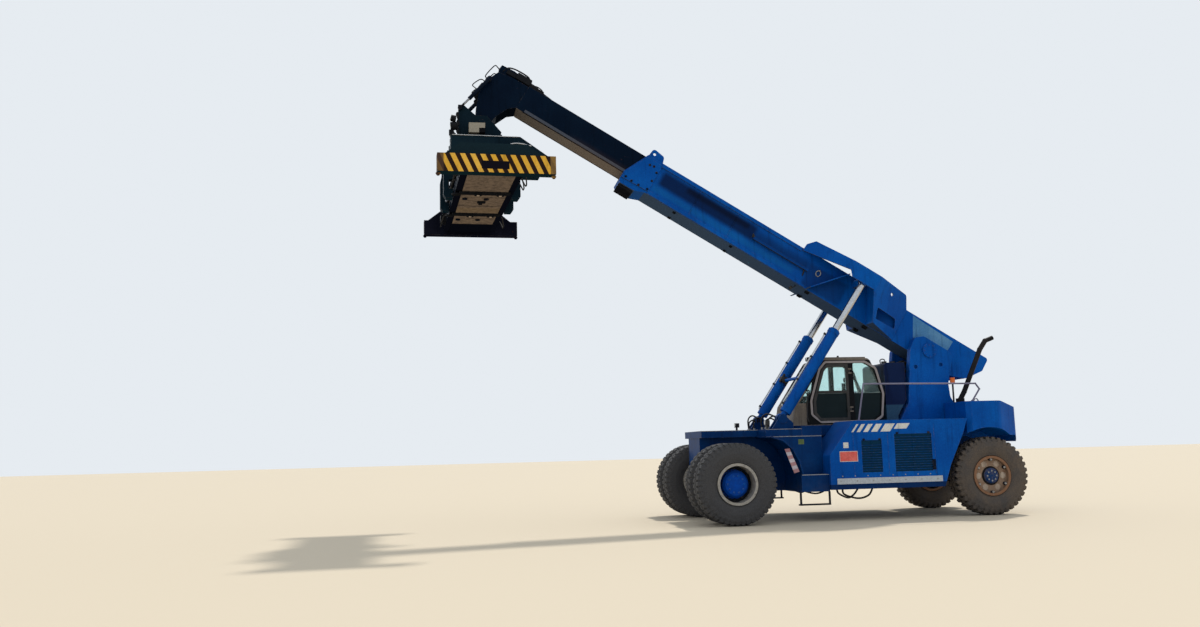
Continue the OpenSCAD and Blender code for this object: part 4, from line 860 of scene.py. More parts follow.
def buildStripes(v, sign, sideName):
    bm = bmesh.new()
    x = v["start"]
    for width in v["widths"]:
        foot, head = x, x - v["lean"]
        outline = [(foot, v["low"]), (foot - width, v["low"]), (head - width, v["high"]), (head, v["high"])]
        addPlate(bm, outline, podFace, sign, v["thick"], 0.0005)
        x -= width + v["gap"]
    half = (v["low"] + v["high"]) / 2 - 0.03
    lean = v["lean"] * (v["high"] - half) / (v["high"] - v["low"])
    x -= v["lean"] - lean - 0.02
    outline = [(x, half), (x - v["bar"], half), (x - v["bar"] - lean, v["high"]), (x - lean, v["high"])]
    addPlate(bm, outline, podFace, sign, v["thick"], 0.0005)
    fromBmesh(f"podStripes_{sideName}", bm, whitePaint)


sidePlates = {
    "red": (-2.55, -2.17, 1.235, 1.433),
    "square": (-2.355, -2.262, 1.52, 1.617),
    "border": 0.010,
}


def buildPlates(v, sign, sideName):
    edge = v["border"]
    for key, material in (("red", redPlate), ("square", whitePaint)):
        x0, x1, z0, z1 = v[key]
        bm = bmesh.new()
        addPlate(bm, rectangle(x0, x1, z0, z1), podFace, sign, 0.003, 0.0005)
        fromBmesh(f"{key}Plate_{sideName}", bm, material)
        bm = bmesh.new()
        addPlate(bm, rectangle(x0 - edge, x1 + edge, z0 - edge, z1 + edge), podFace, sign, 0.002, 0.0005)
        fromBmesh(f"{key}Border_{sideName}", bm, whitePaint)


guardMarker = {
    "outline": [(-0.988, 1.522), (-1.096, 1.534), (-1.292, 1.048), (-1.176, 1.015)],
    "face": 1.620,
    "bands": 7,
}


def buildMarker(v, sign, sideName):
    a, b, c, d = [Vector((x, 0, z)) for x, z in v["outline"]]
    for part, material in ((0, markerRose), (1, markerPale)):
        bm = bmesh.new()
        for i in range(part, v["bands"], 2):
            t, u = i / v["bands"], (i + 1) / v["bands"]
            corners = [a.lerp(d, t), b.lerp(c, t), b.lerp(c, u), a.lerp(d, u)]
            addPlate(bm, [(p.x, p.z) for p in corners], v["face"], sign, 0.004)
        fromBmesh(f"guardMarker{part}_{sideName}", bm, material)


# pale edges of the steps and decks, a green square, hinges, lock and bolts of the side housings
bodyTrim = {
    "edges": [                      # x from, x to, z from, z to, outer side
        (-1.935, -1.345, 0.966, 0.980, 1.620),
        (-1.935, -0.760, 1.778, 1.790, 1.300),
        (-0.700, 0.565, 1.938, 1.948, 0.750),
        (-1.495, -0.705, 1.938, 1.948, 1.300),
    ],
    "square": (-1.411, -1.538, 1.613, 1.720, 1.300),
    "hinges": [(-2.708, 1.679), (-3.061, 1.679), (-3.46, 1.80), (-4.17, 1.80)],
    "lock": (-4.262, 1.12, 0.035, 0.11),
    "boltLow": 0.925,
}


def buildBodyTrim(v, sign, sideName):
    bm = bmesh.new()
    for *sides, face in v["edges"]:
        addPlate(bm, rectangle(*sides), face, sign, 0.004)
    fromBmesh(f"paleEdges_{sideName}", bm, paleEdge)
    *sides, face = v["square"]
    bm = bmesh.new()
    addPlate(bm, rectangle(*sides), face, sign, 0.003)
    fromBmesh(f"greenSquare_{sideName}", bm, greenPlate)
    face = podFace * sign
    bm = bmesh.new()
    for x, z in v["hinges"]:
        addRod(bm, (x - 0.03, face + 0.010 * sign, z), (x + 0.03, face + 0.010 * sign, z), 0.010, 10)
        addPlate(bm, rectangle(x - 0.02, x + 0.02, z - 0.022, z + 0.022), podFace, sign, 0.006)
    x, z, halfX, halfZ = v["lock"]
    addPlate(bm, rectangle(x - halfX, x + halfX, z - halfZ, z + halfZ), podFace, sign, 0.014)
    addRod(bm, (x, face, z - 0.05), (x, face + 0.030 * sign, z - 0.05), 0.014, 10)
    fromBmesh(f"podHinges_{sideName}", bm, darkPaint)
    bm = bmesh.new()
    addBolts(bm, [(-2.2 - 0.28 * i, face, v["boltLow"]) for i in range(8)], (0, sign, 0), 0.009, 0.008)
    barRow = [(-2.15 - 0.36 * i, face + 0.022 * sign, 0.82) for i in range(7)]
    addBolts(bm, barRow, (0, sign, 0), 0.010, 0.008)
    fromBmesh(f"podBolts_{sideName}", bm, wornSteel)


for sideName, sign in leftAndRight:
    buildStripes(podStripes, sign, sideName)
    buildPlates(sidePlates, sign, sideName)
    buildMarker(guardMarker, sign, sideName)
    buildBodyTrim(bodyTrim, sign, sideName)
print("side housings dressed")

# blank band on the boom's tail, hoses in its tray, bolts of the collar, pads and fittings underneath
boomTrim = {
    "band": [(0.63, 0.585), (0.40, 0.13), (-0.46, 0.19), (-0.49, 0.54)],
    "half": 0.370,
    "ring": (3.05, 0.27, 0.055),
    "hook": (3.36, -0.195),
    "belly": -0.195,
    "bumps": [(3.05, 0.10, 0.045), (1.49, 0.12, 0.055), (5.10, 0.07, 0.030), (6.60, 0.07, 0.030)],
    "tray": (3.32, 4.74, 0.190),
    "collarBolts": [(7.40, -0.10), (7.40, 0.12), (7.40, 0.34), (7.96, -0.10), (7.62, -0.12), (7.80, -0.12),
                    (7.62, 0.42), (7.52, 0.44)],
    "pads": (7.66, 8.02, -0.345, -0.278, 0.30),
}


def buildBoomTrim(v):
    for sideName, sign in leftAndRight:
        face = v["half"] * sign
        bm = bmesh.new()
        addPrism(bm, [onBoom(s, t, face - 0.001 * sign) for s, t in v["band"]],
                 [onBoom(s, t, face + 0.002 * sign) for s, t in v["band"]])
        fromBmesh(f"numberBand_{sideName}", bm, paleBand, "boom")
        s0, s1, floorT = v["tray"]
        bm = bmesh.new()
        for k, radius in enumerate((0.017, 0.014, 0.011)):
            y = face + (0.016 + 0.020 * k) * sign
            path = [(s0 + 0.03, floorT - 0.10 - 0.03 * k, face), (s0 + 0.10, floorT + 0.02, y)]
            path += [(s0 + 0.30 + 0.3 * i, floorT + radius + 0.004 * (i % 2), y) for i in range(4)]
            path += [(s1 - 0.04, floorT + 0.02, y), (s1 + 0.06, floorT + 0.05 + 0.03 * k, face)]
            tubeAlong(bm, [onBoom(*spot) for spot in path], radius)
        fromBmesh(f"trayHoses_{sideName}", bm, blackRubber, "boom", smooth=True)
        bm = bmesh.new()
        s, t, radius = v["ring"]
        turns = [2 * math.pi * i / 16 for i in range(17)]
        ring = [(s + radius * math.cos(a), t + radius * 1.3 * math.sin(a)) for a in turns]
        addTube(bm, [onBoom(*spot, face + 0.018 * sign) for spot in ring], 0.012)
        top = t + radius * 1.3
        addRod(bm, onBoom(s, top, face - 0.01 * sign), onBoom(s, top, face + 0.03 * sign), 0.02)
        fromBmesh(f"boomRing_{sideName}", bm, wornSteel, "boom", smooth=True)
        bm = bmesh.new()
        spots = [onBoom(s, t, face + 0.028 * sign) for s, t in v["collarBolts"]]
        addBolts(bm, spots, (0, sign, 0), 0.020, 0.016)
        fromBmesh(f"collarBolts_{sideName}", bm, darkPaint, "boom")
    bm = bmesh.new()
    for s, length, drop in v["bumps"]:
        rear, front = s - length / 2, s + length / 2
        for y in (-0.26, 0.26):
            addBoomBox(bm, (rear, y - 0.045, v["belly"]), (front, y + 0.045, v["belly"] - drop))
    s0, s1, t0, t1, half = v["pads"]
    addBoomBox(bm, (s0, -half, t0), (s1, half, t1))
    fromBmesh("boomFittings", bm, greaseBlack, "boom", bevel=0.006)
    bm = bmesh.new()
    s, t = v["hook"]
    arch = [onBoom(s, t + 0.01, 0.24), onBoom(s + 0.01, t - 0.05, 0.24), onBoom(s + 0.06, t - 0.10, 0.24)]
    tubeAlong(bm, arch, 0.012)
    addRod(bm, onBoom(s + 0.04, t - 0.12, 0.24), onBoom(s + 0.10, t - 0.10, 0.24), 0.040, 14)
    fromBmesh("boomHook", bm, blackPlastic, "boom")


# pipes, unions and gland rings on the lift cylinders
cylinderTrim = {
    "side": 0.820,
    "front": -0.152,
    "start": 0.30,
    "top": 2.16,
    "pipe": 0.015,
    "bar": 1.13,
    "glands": [(2.348, 2.372, 0.0815, 0.104), (2.262, 2.345, 0.120, 0.134)],
}


def buildCylinderTrim(v):
    start, front, top, bar = v["start"], v["front"], v["top"], v["bar"]
    turns = [2 * math.pi * i / 28 for i in range(28)]
    for sideName, sign in leftAndRight:
        y = v["side"] * sign
        bm = bmesh.new()
        points = [onCylinder(start - 0.05, front + 0.05, y)]
        points += [onCylinder(start + 0.3 * i, front, y) for i in range(7)]
        points += [onCylinder(top - 0.02, front, y), onCylinder(top + 0.03, front + 0.05, y)]
        tubeAlong(bm, points, v["pipe"], 10)
        fromBmesh(f"barrelPipe_{sideName}", bm, palePipe, "cylinder_barrels", smooth=True)
        bm = bmesh.new()
        for s in (start + 0.02, 0.95, 1.55, top):
            addRod(bm, onCylinder(s - 0.022, front, y), onCylinder(s + 0.022, front, y), 0.026, 8)
            addRod(bm, onCylinder(s, front, y), onCylinder(s, front + 0.045, y), 0.018, 8)
        inner = y - 0.17 * sign
        near, far = inner + 0.03 * sign, inner - 0.07 * sign
        addRod(bm, onCylinder(bar, -0.01, far), onCylinder(bar, -0.01, near), 0.075, 16)
        addRod(bm, onCylinder(bar - 0.10, -0.09, inner), onCylinder(bar + 0.12, -0.09, inner), 0.030, 12)
        clamp = onCylinder(bar - 0.11, 0.05, inner - 0.05 * sign)
        addRod(bm, clamp, onCylinder(bar + 0.04, 0.06, inner), 0.022, 12)
        fromBmesh(f"barrelUnions_{sideName}", bm, blackPlastic, "cylinder_barrels")
        bm = bmesh.new()
        for low, high, inside, outside in v["glands"]:
            rings = [
                [bm.verts.new(onCylinder(s, radius * math.cos(a), y + radius * math.sin(a))) for a in turns]
                for s, radius in ((low, inside), (low, outside), (high, outside), (high, inside))]
            joinRings(bm, rings + rings[:1])
        fromBmesh(f"glandRing_{sideName}", bm, barrelPaint, "cylinder_barrels")
        bm = bmesh.new()
        spots = [onCylinder(bar + 0.02 * k, -0.125 + 0.02 * k, near) for k in (0, 1)]
        addBolts(bm, spots, (0, sign, 0), 0.018, 0.03)
        fromBmesh(f"barrelClampBolts_{sideName}", bm, paleEdge, "cylinder_barrels")


# hoses from the deck to the cylinder feet, and two loops under each side housing
footHoses = {"deck": 1.952, "radius": 0.017, "starts": [(-0.93, 0.60), (-1.02, 0.54), (-0.88, 0.50)]}
bellyHoses = {"radius": 0.020, "top": 0.655, "loops": [(-2.15, -2.62, 0.47), (-2.34, -3.02, 0.44)]}


def buildHoses(feet, belly):
    deck, top = feet["deck"], belly["top"]
    footX, footZ = cylinderFrame["foot"]
    bm = bmesh.new()
    for sideName, sign in leftAndRight:
        for k, (x, y) in enumerate(feet["starts"]):
            rise = 0.24 + 0.05 * k
            hangHose(f"footHose{k}_{sideName}", [
                (x, y * sign, deck),
                (x + 0.01, y * sign, deck + rise * 0.7),
                (x - 0.10, (y + 0.05) * sign, deck + rise),
                (x - 0.21 - 0.02 * k, (y + 0.12) * sign, deck + rise - 0.06),
                (footX + 0.03 * k, 0.690 * sign, footZ - 0.02 * k),
            ], feet["radius"], "chassis")
            addRod(bm, (x, y * sign, deck - 0.004), (x, y * sign, deck + 0.05), 0.027, 8)
        for k, (front, back, low) in enumerate(belly["loops"]):
            y = (1.46 - 0.16 * k) * sign
            hangHose(f"bellyHose{k}_{sideName}", [
                (front, y, top), (front - 0.04, y, low + 0.09), ((front + back) / 2, y, low),
                (back + 0.10, y, low + 0.06), (back, y, top),
            ], belly["radius"], "chassis")
    fromBmesh("deckUnions", bm, wornSteel)


# wheels: bolts on hubs and discs, valves in front, clamps and bare bosses on the rear rims
wheelTrim = {
    "frontHub": (0.172, 10, 1.928),   # radius, count, side
    "frontDisc": (0.318, 12, 1.756),
    "rearHub": (0.105, 8, 1.602),
    "rearDisc": 1.544,
    "clamps": 6,
    "clampRadius": 0.345,
    "bossRadius": 0.285,
}


def addDisc(bm, spot, sign, radius, thick, sides, taper):
    outward = Vector((0, sign, 0))
    addRod(bm, spot - outward * 0.002, spot + outward * thick, radius, sides, taper)


def buildWheelTrim(v):
    z, frontX, rearX = wheelSpots["axleZ"], wheelSpots["frontX"], wheelSpots["rearX"]
    count, reach = v["clamps"], v["clampRadius"]
    for sideName, sign in leftAndRight:
        outward = (0, sign, 0)
        disc = v["rearDisc"] * sign
        bm = bmesh.new()
        radius, bolts, y = v["frontHub"]
        addBolts(bm, circleSpots((frontX, z), radius, bolts, y * sign), outward, 0.016, 0.020)
        fromBmesh(f"frontHubBolts_{sideName}", bm, bluePaint, f"front_wheels_{sideName}")
        bm = bmesh.new()
        radius, bolts, y = v["frontDisc"]
        addBolts(bm, circleSpots((frontX, z), radius, bolts, y * sign), outward, 0.020, 0.040)
        valve = [(frontX + 0.25 + 0.01 * i, (y + 0.06 * j) * sign, z + 0.24 + 0.02 * j)
                 for i, j in ((0, 0), (2, 1), (5, 2))]
        tubeAlong(bm, valve, 0.008)
        fromBmesh(f"frontDiscBolts_{sideName}", bm, darkPaint, f"front_wheels_{sideName}")
        bm = bmesh.new()
        for i in range(count):
            turn = Matrix.Rotation(2 * math.pi * i / count, 3, "Y")
            for vert in bmesh.ops.create_cube(bm, size=1.0)["verts"]:
                x, y, up = vert.co
                wedge = 0.075 if up > 0 else 0.055
                spot = Vector((x * wedge, (y + 0.5) * 0.062 * sign, reach + up * 0.055))
                vert.co = turn @ spot + Vector((rearX, disc, z))
        fromBmesh(f"rimClamps_{sideName}", bm, darkPaint, f"rear_wheel_{sideName}", bevel=0.006)
        bm = bmesh.new()
        spots = circleSpots((rearX, z), reach, count, disc + 0.06 * sign, math.pi / 2)
        addBolts(bm, spots, outward, 0.017, 0.022)
        radius, bolts, y = v["rearHub"]
        addBolts(bm, circleSpots((rearX, z), radius, bolts, y * sign), outward, 0.012, 0.014)
        fromBmesh(f"rearBolts_{sideName}", bm, wornSteel, f"rear_wheel_{sideName}")
        bm = bmesh.new()
        for spot in circleSpots((rearX, z), v["bossRadius"], count, disc, math.pi / 2 + math.pi / count):
            addDisc(bm, Vector(spot), sign, 0.072, 0.010, 20, 0.80)
        fromBmesh(f"rimBosses_{sideName}", bm, paleRust, f"rear_wheel_{sideName}")
        bm = bmesh.new()
        addDisc(bm, Vector((rearX, disc, z)), sign, 0.205, 0.012, 40, 0.94)
        fromBmesh(f"hubRing_{sideName}", bm, greaseBlack, f"rear_wheel_{sideName}")


# the head: guard loops, boxes and hoses on top, valves in front of the neck, fittings and hoses on the yoke
headTrim = {
    "loops": [
        [(4.99, 9.84), (5.070, 9.93), (5.082, 10.00), (4.89, 10.219), (4.823, 10.193), (4.77, 10.12)],
        [(5.23, 9.60), (5.328, 9.697), (5.381, 9.765), (5.232, 9.883), (5.151, 9.885), (5.08, 9.82)],
    ],
    "loopSides": (-0.25, 0.25),
    "bars": [                       # along and above the boom, then the radius
        ([(10.90, 0.72), (11.00, 0.80), (11.30, 0.80), (11.48, 0.74), (11.54, 0.60)], 0.018),
        ([(10.52, 0.56), (10.55, 0.68), (10.70, 0.71), (10.82, 0.66)], 0.014),
    ],
    "boxes": [(10.50, 10.66, 0.566, 0.660, 0.16), (10.86, 11.22, 0.600, 0.755, 0.17),
              (11.22, 11.46, 0.600, 0.700, 0.10), (10.66, 10.86, 0.566, 0.690, 0.12)],
    "hoses": [(10.50, 0.56), (10.56, 0.60), (10.75, 0.650), (11.1, 0.655), (11.30, 0.58)],
    "barSides": (-0.17, 0.17),
    "valves": [(5.16, 9.74, 0.07), (5.27, 9.52, 0.06), (5.07, 9.86, 0.05)],
    "yokeHose": [(5.47, 8.553), (5.475, 8.66), (5.50, 8.75), (5.555, 8.785), (5.61, 8.755), (5.632, 8.672)],
    "fittings": [(5.712, 9.040), (5.700, 8.871), (5.702, 8.720)],
}


def buildHead(v):
    bm = bmesh.new()
    for y in v["loopSides"]:
        for loop in v["loops"]:
            tubeAlong(bm, [(x, y, z) for x, z in loop], 0.012, steps=4)
    for y in v["barSides"]:
        for bar, radius in v["bars"]:
            tubeAlong(bm, [onBoom(s, t, y) for s, t in bar], radius)
    fromBmesh("headLoops", bm, greaseBlack, "boom_inner", smooth=True)
    bm = bmesh.new()
    for s0, s1, t0, t1, wide in v["boxes"]:
        for y in v["barSides"]:
            addBoomBox(bm, (s0, y - wide / 2, t0), (s1, y + wide / 2, t1))
    fromBmesh("headBoxes", bm, greaseBlack, "boom_inner", bevel=0.008)
    bm = bmesh.new()
    for k in range(4):
        tubeAlong(bm, [onBoom(s, t, -0.09 + 0.06 * k) for s, t in v["hoses"]], 0.015)
    fromBmesh("headHoses", bm, blackRubber, "boom_inner", smooth=True)
    bm = bmesh.new()
    for _, sign in leftAndRight:
        y = 0.16 * sign
        for x, z, size in v["valves"]:
            spot, half = Vector((x, y, z)), Vector((size, size, size))
            addBox(bm, spot - half, spot + half, tilted(-40, spot))
    fromBmesh("neckValves", bm, greaseBlack, "boom_inner", bevel=0.010)
    for k in range(4):
        hangHose(f"yokeHose{k}", [(x, -0.21 + 0.14 * k, z) for x, z in v["yokeHose"]], 0.009, "yoke")
    bm = bmesh.new()
    for x, z in v["fittings"]:
        for _, sign in leftAndRight:
            addRod(bm, (x, 0.30 * sign, z), (x, 0.365 * sign, z), 0.048, 14)
            addRod(bm, (x, 0.365 * sign, z), (x, 0.376 * sign, z), 0.022, 6)
            addRod(bm, (x - 0.002, 0.355 * sign, z - 0.10), (x - 0.002, 0.355 * sign, z), 0.030, 10)
    fromBmesh("yokeFittings", bm, greaseBlack, "yoke")


# lamps on posts at both front corners of the turntable
headLamps = {
    "x": 5.825,
    "side": 0.62,
    "low": 8.452,
    "high": 8.90,
    "post": (0.020, 0.10),          # radius, and how far below the top it ends
    "cases": [                      # x from, y, z from, x to, z to, all counted from the top, radius, sides
        (-0.065, 0.0, -0.06, 0.045, -0.04, 0.072, 16),
        (-0.075, -0.02, -0.21, 0.055, -0.22, 0.092, 16),
        (0.045, -0.03, -0.42, 0.045, -0.30, 0.045, 12),
    ],
    "lenses": [
        (0.045, 0.0, -0.04, 0.052, -0.038, 0.052, 16),
        (0.055, -0.02, -0.22, 0.062, -0.221, 0.060, 16),
    ],
}


def buildLamps(v):
    x, low, high = v["x"], v["low"], v["high"]
    thick, drop = v["post"]
    cases, lenses = bmesh.new(), bmesh.new()
    for _, sign in leftAndRight:
        y = v["side"] * sign
        addRod(cases, (x, y, low), (x, y, high - drop), thick, 10)
        for bm, rows in ((cases, v["cases"]), (lenses, v["lenses"])):
            for x0, out, z0, x1, z1, radius, sides in rows:
                addRod(bm, (x + x0, y + out, high + z0), (x + x1, y + out, high + z1), radius, sides)
        addRod(cases, (x, y, low + 0.02), (x, y, low + 0.10), thick * 2.5, 12, 0.6)
    fromBmesh("headLamps", cases, greaseBlack, "turntable")
    fromBmesh("headLenses", lenses, lensGlass, "turntable")


# the turntable: motors above it, a pale edge and a bent pipe on each side, valves and hoses behind
turntableTrim = {
    "motors": [(-0.30, 0.24), (-0.30, -0.24), (0.20, -0.20)],
    "motorHeights": (8.548, 8.63, 8.665),           # foot, top, and top of the cap
    "yokePlate": ((4.74, -0.26, 8.545), (4.82, 0.26, 8.62)),
    "valveBlock": ((-0.80, -0.30, 7.88), (-0.64, 0.30, 7.95)),
    "edge": (8.450, 0.725),
    "pipe": [(-0.42, 7.96), (-0.44, 8.13), (-0.50, 8.23), (-0.62, 8.288), (-0.80, 8.291), (-1.02, 8.245)],
    "hose": [(-0.643, 8.36), (-0.74, 8.34), (-0.795, 8.25), (-0.805, 8.16), (-0.785, 8.07), (-0.72, 8.00),
             (-0.643, 7.975)],
}


def buildTurntable(v):
    foot, top, cap = v["motorHeights"]
    bm = bmesh.new()
    for x, y in v["motors"]:
        x += spreaderFrame["hangX"]
        addRod(bm, (x, y, foot), (x, y, top), 0.115, 20)
        addRod(bm, (x, y, top), (x, y, cap), 0.075, 20, 0.9)
    addBox(bm, *v["yokePlate"])
    fromBmesh("slewMotors", bm, greaseBlack, "yoke")
    z, side = v["edge"]
    bm = bmesh.new()
    for _, sign in leftAndRight:
        y = (side + 0.004) * sign
        addTube(bm, [onSpreader(0.70, y, z - 0.006), onSpreader(-0.72, y, z - 0.006)], 0.009, 6)
        tubeAlong(bm, [onSpreader(x, (side + 0.015) * sign, up) for x, up in v["pipe"]], 0.013)
    fromBmesh("turntablePipes", bm, palePipe, "turntable", smooth=True)
    bm = bmesh.new()
    addSpreaderBox(bm, *v["valveBlock"])
    fromBmesh("valveBlock", bm, darkPaint, "turntable", bevel=0.012)
    for k in range(4):
        loop = [onSpreader(x, -0.24 + 0.16 * k, up) for x, up in v["hose"]]
        hangHose(f"valveHose{k}", loop, 0.011, "turntable")


# under the spreader: dark strips with rollers across the belly, and covers over the joints of its plates
bellyTrim = {
    "rows": [1.22, -0.76],
    "rollers": [-0.33, 0.14, 0.61],
    "belly": 7.042,
    "half": 0.54,
    "seam": 0.02,
    "covers": [(0.64, 0.80), (-1.36, -1.20)],
}


def addBellyBox(bm, v, half, y0, y1, down, up):
    shift = spreaderFrame["mainShift"]
    addSpreaderBox(bm, (shift - half, y0, v["belly"] - down), (shift + half, y1, v["belly"] + up))


def buildBelly(v):
    shift, belly, seam = spreaderFrame["mainShift"], v["belly"], v["seam"]
    strips, pins, covers = bmesh.new(), bmesh.new(), bmesh.new()
    for row in v["rows"]:
        addBellyBox(strips, v, v["half"], row - 0.10, row + 0.10, 0.030, 0.004)
        for x in v["rollers"]:
            spot = onSpreader(shift + x, row - 0.02, belly - 0.028)
            addRod(strips, spot, spot - Vector((0, 0, 0.030)), 0.085, 18)
        for x in v["rollers"][:2]:
            spot = onSpreader(shift + x, row - 0.02, belly - 0.056)
            addRod(pins, spot, spot - Vector((0, 0, 0.010)), 0.034, 12)
    addBellyBox(strips, v, 0.48, seam - 0.009, seam + 0.009, 0.003, 0.002)
    addBellyBox(strips, v, 0.09, 0.38, 0.50, 0.03, 0.0)
    spot = onSpreader(shift + 0.02, 0.42, belly) - Vector((0, 0.05, 0))
    addRod(strips, spot, spot - Vector((0, 0, 0.05)), 0.045, 14)
    fromBmesh("bellyStrips", strips, greaseBlack, "spreader")
    fromBmesh("rollerPins", pins, paleRust, "spreader")
    for y0, y1 in v["covers"]:
        addBellyBox(covers, v, 0.482, y0, y1, 0.004, 0.002)
    fromBmesh("bellyCovers", covers, framePaint, "spreader")


# pipes and hoses along both sides of the main frame, clear of the claws that slide there
frameTrim = {
    "face": 0.620,
    "case": (-2.02, -1.72, 7.08, 7.24, 0.13),     # at the front only
    "hangs": [(2.42, 1.92, 6.97), (1.98, 1.58, 6.99), (-1.60, -2.08, 6.97)],
}


def addSideBox(bm, face, sign, near, far, yFrom, yTo, zFrom, zTo):
    ends = sorted((face + near * sign, face + far * sign))
    addSpreaderBox(bm, (ends[0], yFrom, zFrom), (ends[1], yTo, zTo))


def buildFrameSide(v, sideName, sign):
    face = spreaderFrame["mainShift"] + v["face"] * sign
    bm = bmesh.new()
    for k in range(3):
        rise = 7.30 + 0.046 * k
        points = [onSpreader(face - 0.02 * sign, 2.45, rise)]
        points += [onSpreader(face + 0.022 * sign, 2.2 - 0.55 * i, rise) for i in range(9)]
        points.append(onSpreader(face - 0.02 * sign, -2.45, rise))
        tubeAlong(bm, points, 0.014)
    fromBmesh(f"framePipes_{sideName}", bm, greaseBlack, "spreader", smooth=True)
    bm = bmesh.new()
    for i in range(7):
        addSideBox(bm, face, sign, -0.01, 0.045, 2.07 - 0.7 * i, 2.13 - 0.7 * i, 7.275, 7.418)
    if sign > 0:
        y0, y1, z0, z1, out = v["case"]
        addSideBox(bm, face, sign, 0.0, out, y0, y1, z0, z1)
        addSideBox(bm, face, sign, 0.0, out * 0.6, y0 + 0.05, y1 - 0.05, z0 - 0.04, z1 + 0.05)
    fromBmesh(f"frameClips_{sideName}", bm, greaseBlack, "spreader", bevel=0.006)
    for k, (start, end, low) in enumerate(v["hangs"]):
        middle = (start + end) / 2
        loop = [(0.003, start, 7.22), (0.075, start - 0.02, 7.15), (0.12, middle + 0.10, low + 0.03),
                (0.125, middle, low), (0.12, middle - 0.10, low + 0.03), (0.075, end + 0.02, 7.15),
                (0.003, end, 7.22)]
        path = [onSpreader(face + out * sign, y, z) for out, y, z in loop]
        hangHose(f"sideHose{k}_{sideName}", path, 0.014, "spreader")


# the cab: wipers, grab bars at the front corners, a knob and two lamps on the roof
cabTrim = {
    "side": 0.620,
    "wiper": [(-1.70, 2.585), (-2.00, 3.02), (-2.10, 3.17)],
    "wiperSides": (0.22, -0.30),
    "knob": (-2.80, 3.528),
    "grab": [(-1.905, 2.10), (-1.875, 2.22), (-1.90, 2.62), (-1.965, 2.72)],
    "roofLamps": (-2.36, 3.53),
    "lampSides": (-0.40, 0.40),
}


def buildCab(v):
    bm = bmesh.new()
    for y in v["wiperSides"]:
        points = [(x + 0.035, y + 0.10 * i, z + 0.025) for i, (x, z) in enumerate(v["wiper"])]
        tubeAlong(bm, points, 0.010)
        base, tip = Vector(points[0]), Vector(points[-1])
        addRod(bm, base - Vector((0.03, 0, 0.02)), base + Vector((0.01, 0, 0.01)), 0.028, 12)
        addTube(bm, [tip + Vector((0.17, -0.02, -0.25)), tip, tip + Vector((-0.14, 0.02, 0.205))], 0.009, 6)
    for _, sign in leftAndRight:
        wall, out = v["side"] * sign, (v["side"] + 0.045) * sign
        foot, top = v["grab"][0], v["grab"][-1]
        points = [(x, out, z) for x, z in v["grab"]]
        tubeAlong(bm, [(foot[0], wall, foot[1])] + points + [(top[0], wall, top[1])], 0.013)
    x, z = v["knob"]
    addRod(bm, (x, 0.30, z - 0.004), (x, 0.30, z + 0.055), 0.030, 12, 0.7)
    fromBmesh("cabTrim", bm, blackPlastic)
    x, z = v["roofLamps"]
    cases, lenses = bmesh.new(), bmesh.new()
    for y in v["lampSides"]:
        addBox(cases, (x - 0.06, y - 0.09, z - 0.005), (x + 0.05, y + 0.09, z + 0.085))
        addRod(lenses, (x + 0.049, y, z + 0.04), (x + 0.054, y, z + 0.04), 0.034, 16)
    fromBmesh("roofLampCases", cases, blackPlastic, bevel=0.010)
    fromBmesh("roofLampLenses", lenses, lensGlass)


# the driver's seat, in place of the plain one: crowned cushions on a frame with arm rests
seatForm = {
    "middle": -2.81,
    "floor": 2.09,
    "wide": 0.50,
    "crown": 0.028,
    "pull": 0.018,
    "cushions": {                   # back, front, half width, low, high, from the middle and the floor
        "seatCushion": (-0.24, 0.26, 0.25, 0.245, 0.375),
        "seatBack": (-0.37, -0.24, 0.24, 0.36, 0.90),
        "headRest": (-0.36, -0.26, 0.14, 0.905, 1.02),
    },
    "frame": [(-0.19, 0.17, 0.18, 0.001, 0.10), (-0.14, 0.12, 0.13, 0.10, 0.19),
              (-0.22, 0.22, 0.21, 0.19, 0.246)],
    "armRests": [(-0.22, 0.14, 0.035, 0.50, 0.56), (-0.24, -0.18, 0.02, 0.22, 0.51)],
}


def addCushion(bm, low, high, crown, pull, cuts=14):
    low, high = Vector(low), Vector(high)
    size = high - low
    thin = min(range(3), key=lambda i: size[i])
    flat = [i for i in range(3) if i != thin]
    bmesh.ops.create_cube(bm, size=1.0)
    bmesh.ops.subdivide_edges(bm, edges=list(bm.edges), cuts=cuts, use_grid_fill=True)
    for vert in bm.verts:
        u = [2 * c for c in vert.co]
        rise = (1 - u[flat[0]] ** 2) * (1 - u[flat[1]] ** 2)
        edge = max(abs(u[flat[0]]), abs(u[flat[1]]))
        spot = [low[i] + (vert.co[i] + 0.5) * size[i] for i in range(3)]
        spot[thin] += (1 if u[thin] > 0 else -1) * crown * rise * abs(u[thin])
        spot[thin] -= u[thin] * size[thin] * 0.16 * max(0.0, edge - 0.78) / 0.22
        for i, other in (flat, flat[::-1]):
            spot[i] -= u[i] * pull * (1 - u[other] ** 2) * (abs(u[i]) > 0.6)
        vert.co = spot


def buildSeat(v):
    x, z = v["middle"], v["floor"]
    for name, (back, front, half, low, high) in v["cushions"].items():
        bm = bmesh.new()
        addCushion(bm, (x + back, -half, z + low), (x + front, half, z + high), v["crown"], v["pull"])
        fromBmesh(name, bm, seatCloth, smooth=True)
    bm = bmesh.new()
    for back, front, half, low, high in v["frame"]:
        addBox(bm, (x + back, -half, z + low), (x + front, half, z + high))
    for _, sign in leftAndRight:
        y = (v["wide"] / 2 + 0.02) * sign
        for back, front, half, low, high in v["armRests"]:
            addBox(bm, (x + back, y - half, z + low), (x + front, y + half, z + high))
    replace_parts(fromBmesh("seatFrame", bm, blackPlastic, bevel=0.008), "driver_seat")


